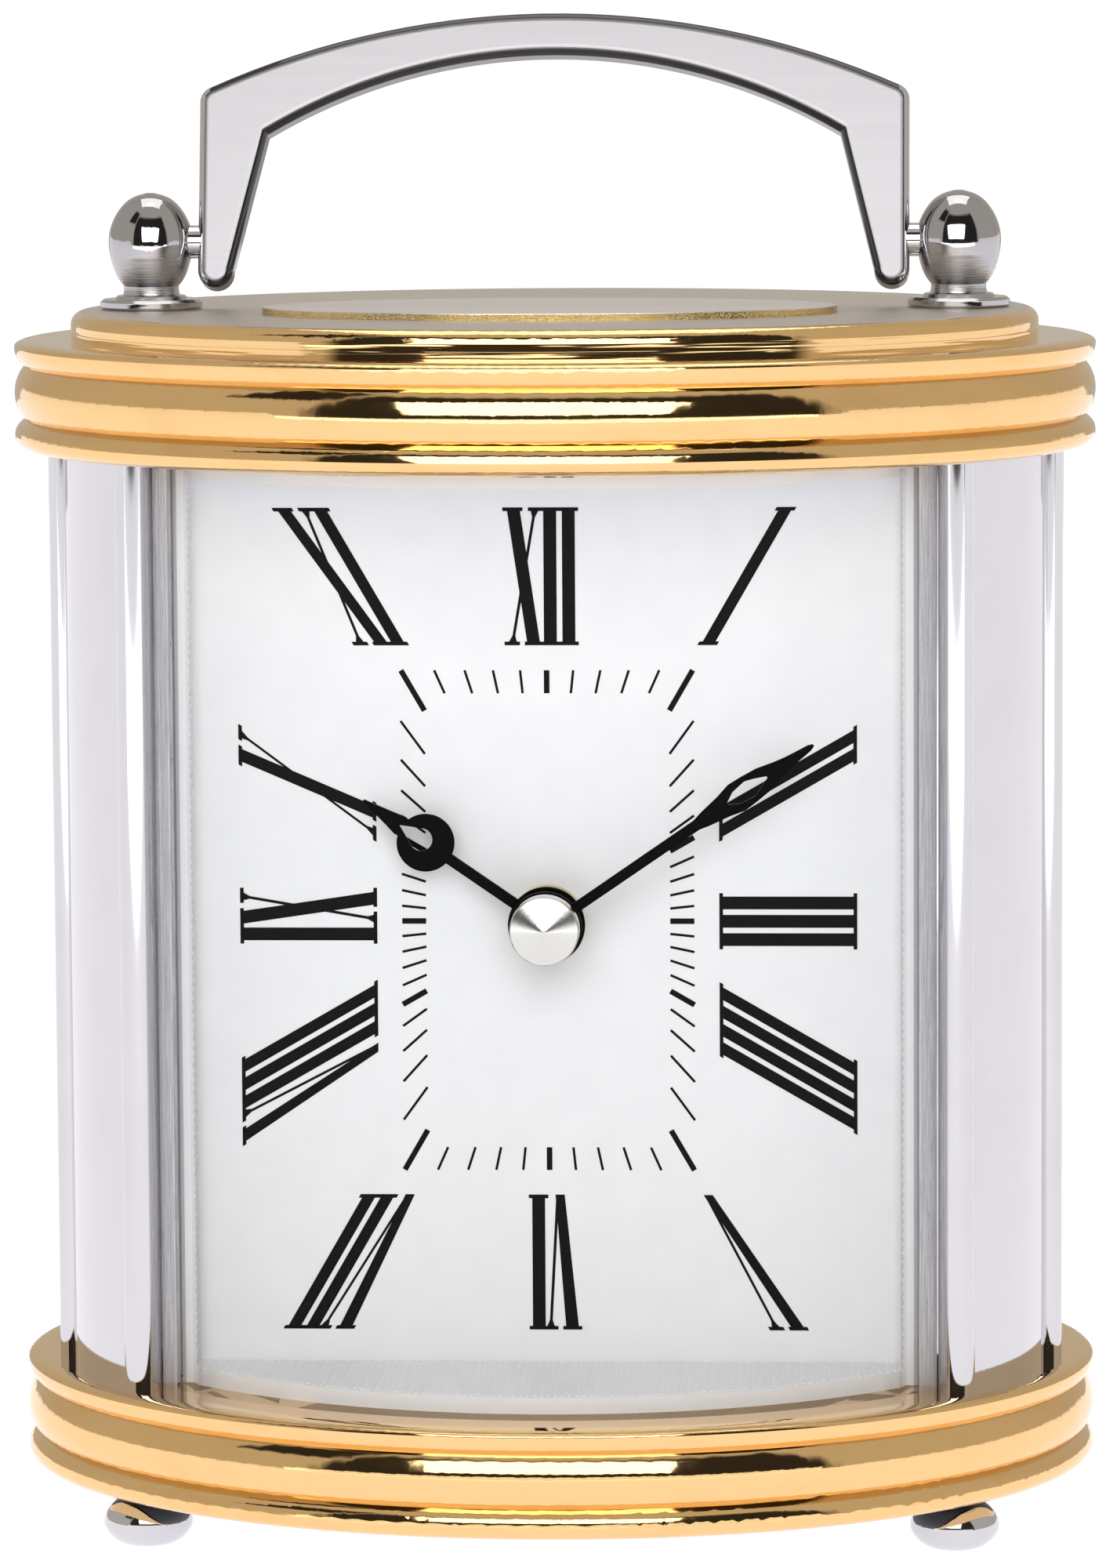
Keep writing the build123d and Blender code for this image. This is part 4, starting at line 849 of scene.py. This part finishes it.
grow("tray_ribs", tree, {"Pitch": RIB_PITCH * MM, "Count": float(RIB_COUNT),
                         "Start": -(RIB_COUNT - 1) / 2 * RIB_PITCH * MM,
                         "Bow radius": BOW_R * MM, "Bow centre": BOW_Y * MM, "Back": (FACE_Y - 0.05) * MM,
                         "Floor": FLOOR_Z * MM, "Roof": ROOF_Z * MM, "Rib height": 0.10 * MM},
     white_plastic, "case")

# %% [markdown]
# The rungs are the same kind of bar, now stacked one above another on both side strips. The first half of the
# copies climbs the right strip and the second half the left one.

# %% Rungs of the side strips
RUNG_PITCH = 0.95
RUNG_COUNT = int((ROOF_Z - FLOOR_Z - 1.0) / RUNG_PITCH)
tree, size = new_tree("strip_rungs", ["Pitch", "Count", "First", "Strip", "Depth", "Long", "Thick"])
index = add(tree, "GeometryNodeInputIndex", {})
left = (index > size["Count"] - 0.5)
level = size["First"] + (index - left * size["Count"]) * size["Pitch"]
place_x = size["Strip"] * (1 - left * 2)
rung_size = vector(tree, size["Thick"] * 2, size["Pitch"] * 0.5, size["Long"])
rungs = copies(tree, 2 * RUNG_COUNT, vector(tree, place_x, size["Depth"], level), bar(tree),
               vector(tree, math.pi / 2, 0.0, 0.0), rung_size)
close_tree(tree, rungs, size["Finish"])
grow("strip_rungs", tree, {"Pitch": RUNG_PITCH * MM, "Count": float(RUNG_COUNT),
                           "First": (FLOOR_Z + 0.8) * MM,
                           "Strip": TRAY_HALF * MM, "Depth": (FACE_Y - 1.6) * MM, "Long": 2.8 * MM,
                           "Thick": 0.12 * MM}, white_plastic, "case")

# %% [markdown]
# The little pull on the back door needs a grip. A ring of straight ribs round its rim is the usual knurl, and
# it is again one rule: equal steps of angle about the knob's axis.

# %% Grip of the door's pull
pull_low, pull_high = edges("door_pull")
PULL_R = (pull_high.x - pull_low.x) / 2
KNURLS = 28
tree, size = new_tree("pull_grip", ["Radius", "Axis x", "Axis z", "Depth", "Long", "Thick", "Step"])
index = add(tree, "GeometryNodeInputIndex", {})
angle = index * size["Step"]
rim_x = size["Axis x"] + angle.math("SINE") * size["Radius"]
rim_z = size["Axis z"] + angle.math("COSINE") * size["Radius"]
grips = copies(tree, KNURLS, vector(tree, rim_x, size["Depth"], rim_z), bar(tree),
               vector(tree, math.pi / 2, 0.0, 0.0), vector(tree, size["Thick"], size["Thick"], size["Long"]))
close_tree(tree, grips, size["Finish"])
grow("pull_grip", tree, {"Radius": (PULL_R - 0.02) * MM, "Axis x": (pull_low.x + pull_high.x) / 2 * MM,
                         "Axis z": (pull_low.z + pull_high.z) / 2 * MM, "Depth": (pull_high.y - 1.15) * MM,
                         "Long": 1.7 * MM, "Thick": 0.26 * MM, "Step": 2 * math.pi / KNURLS},
     gold, "back_door")
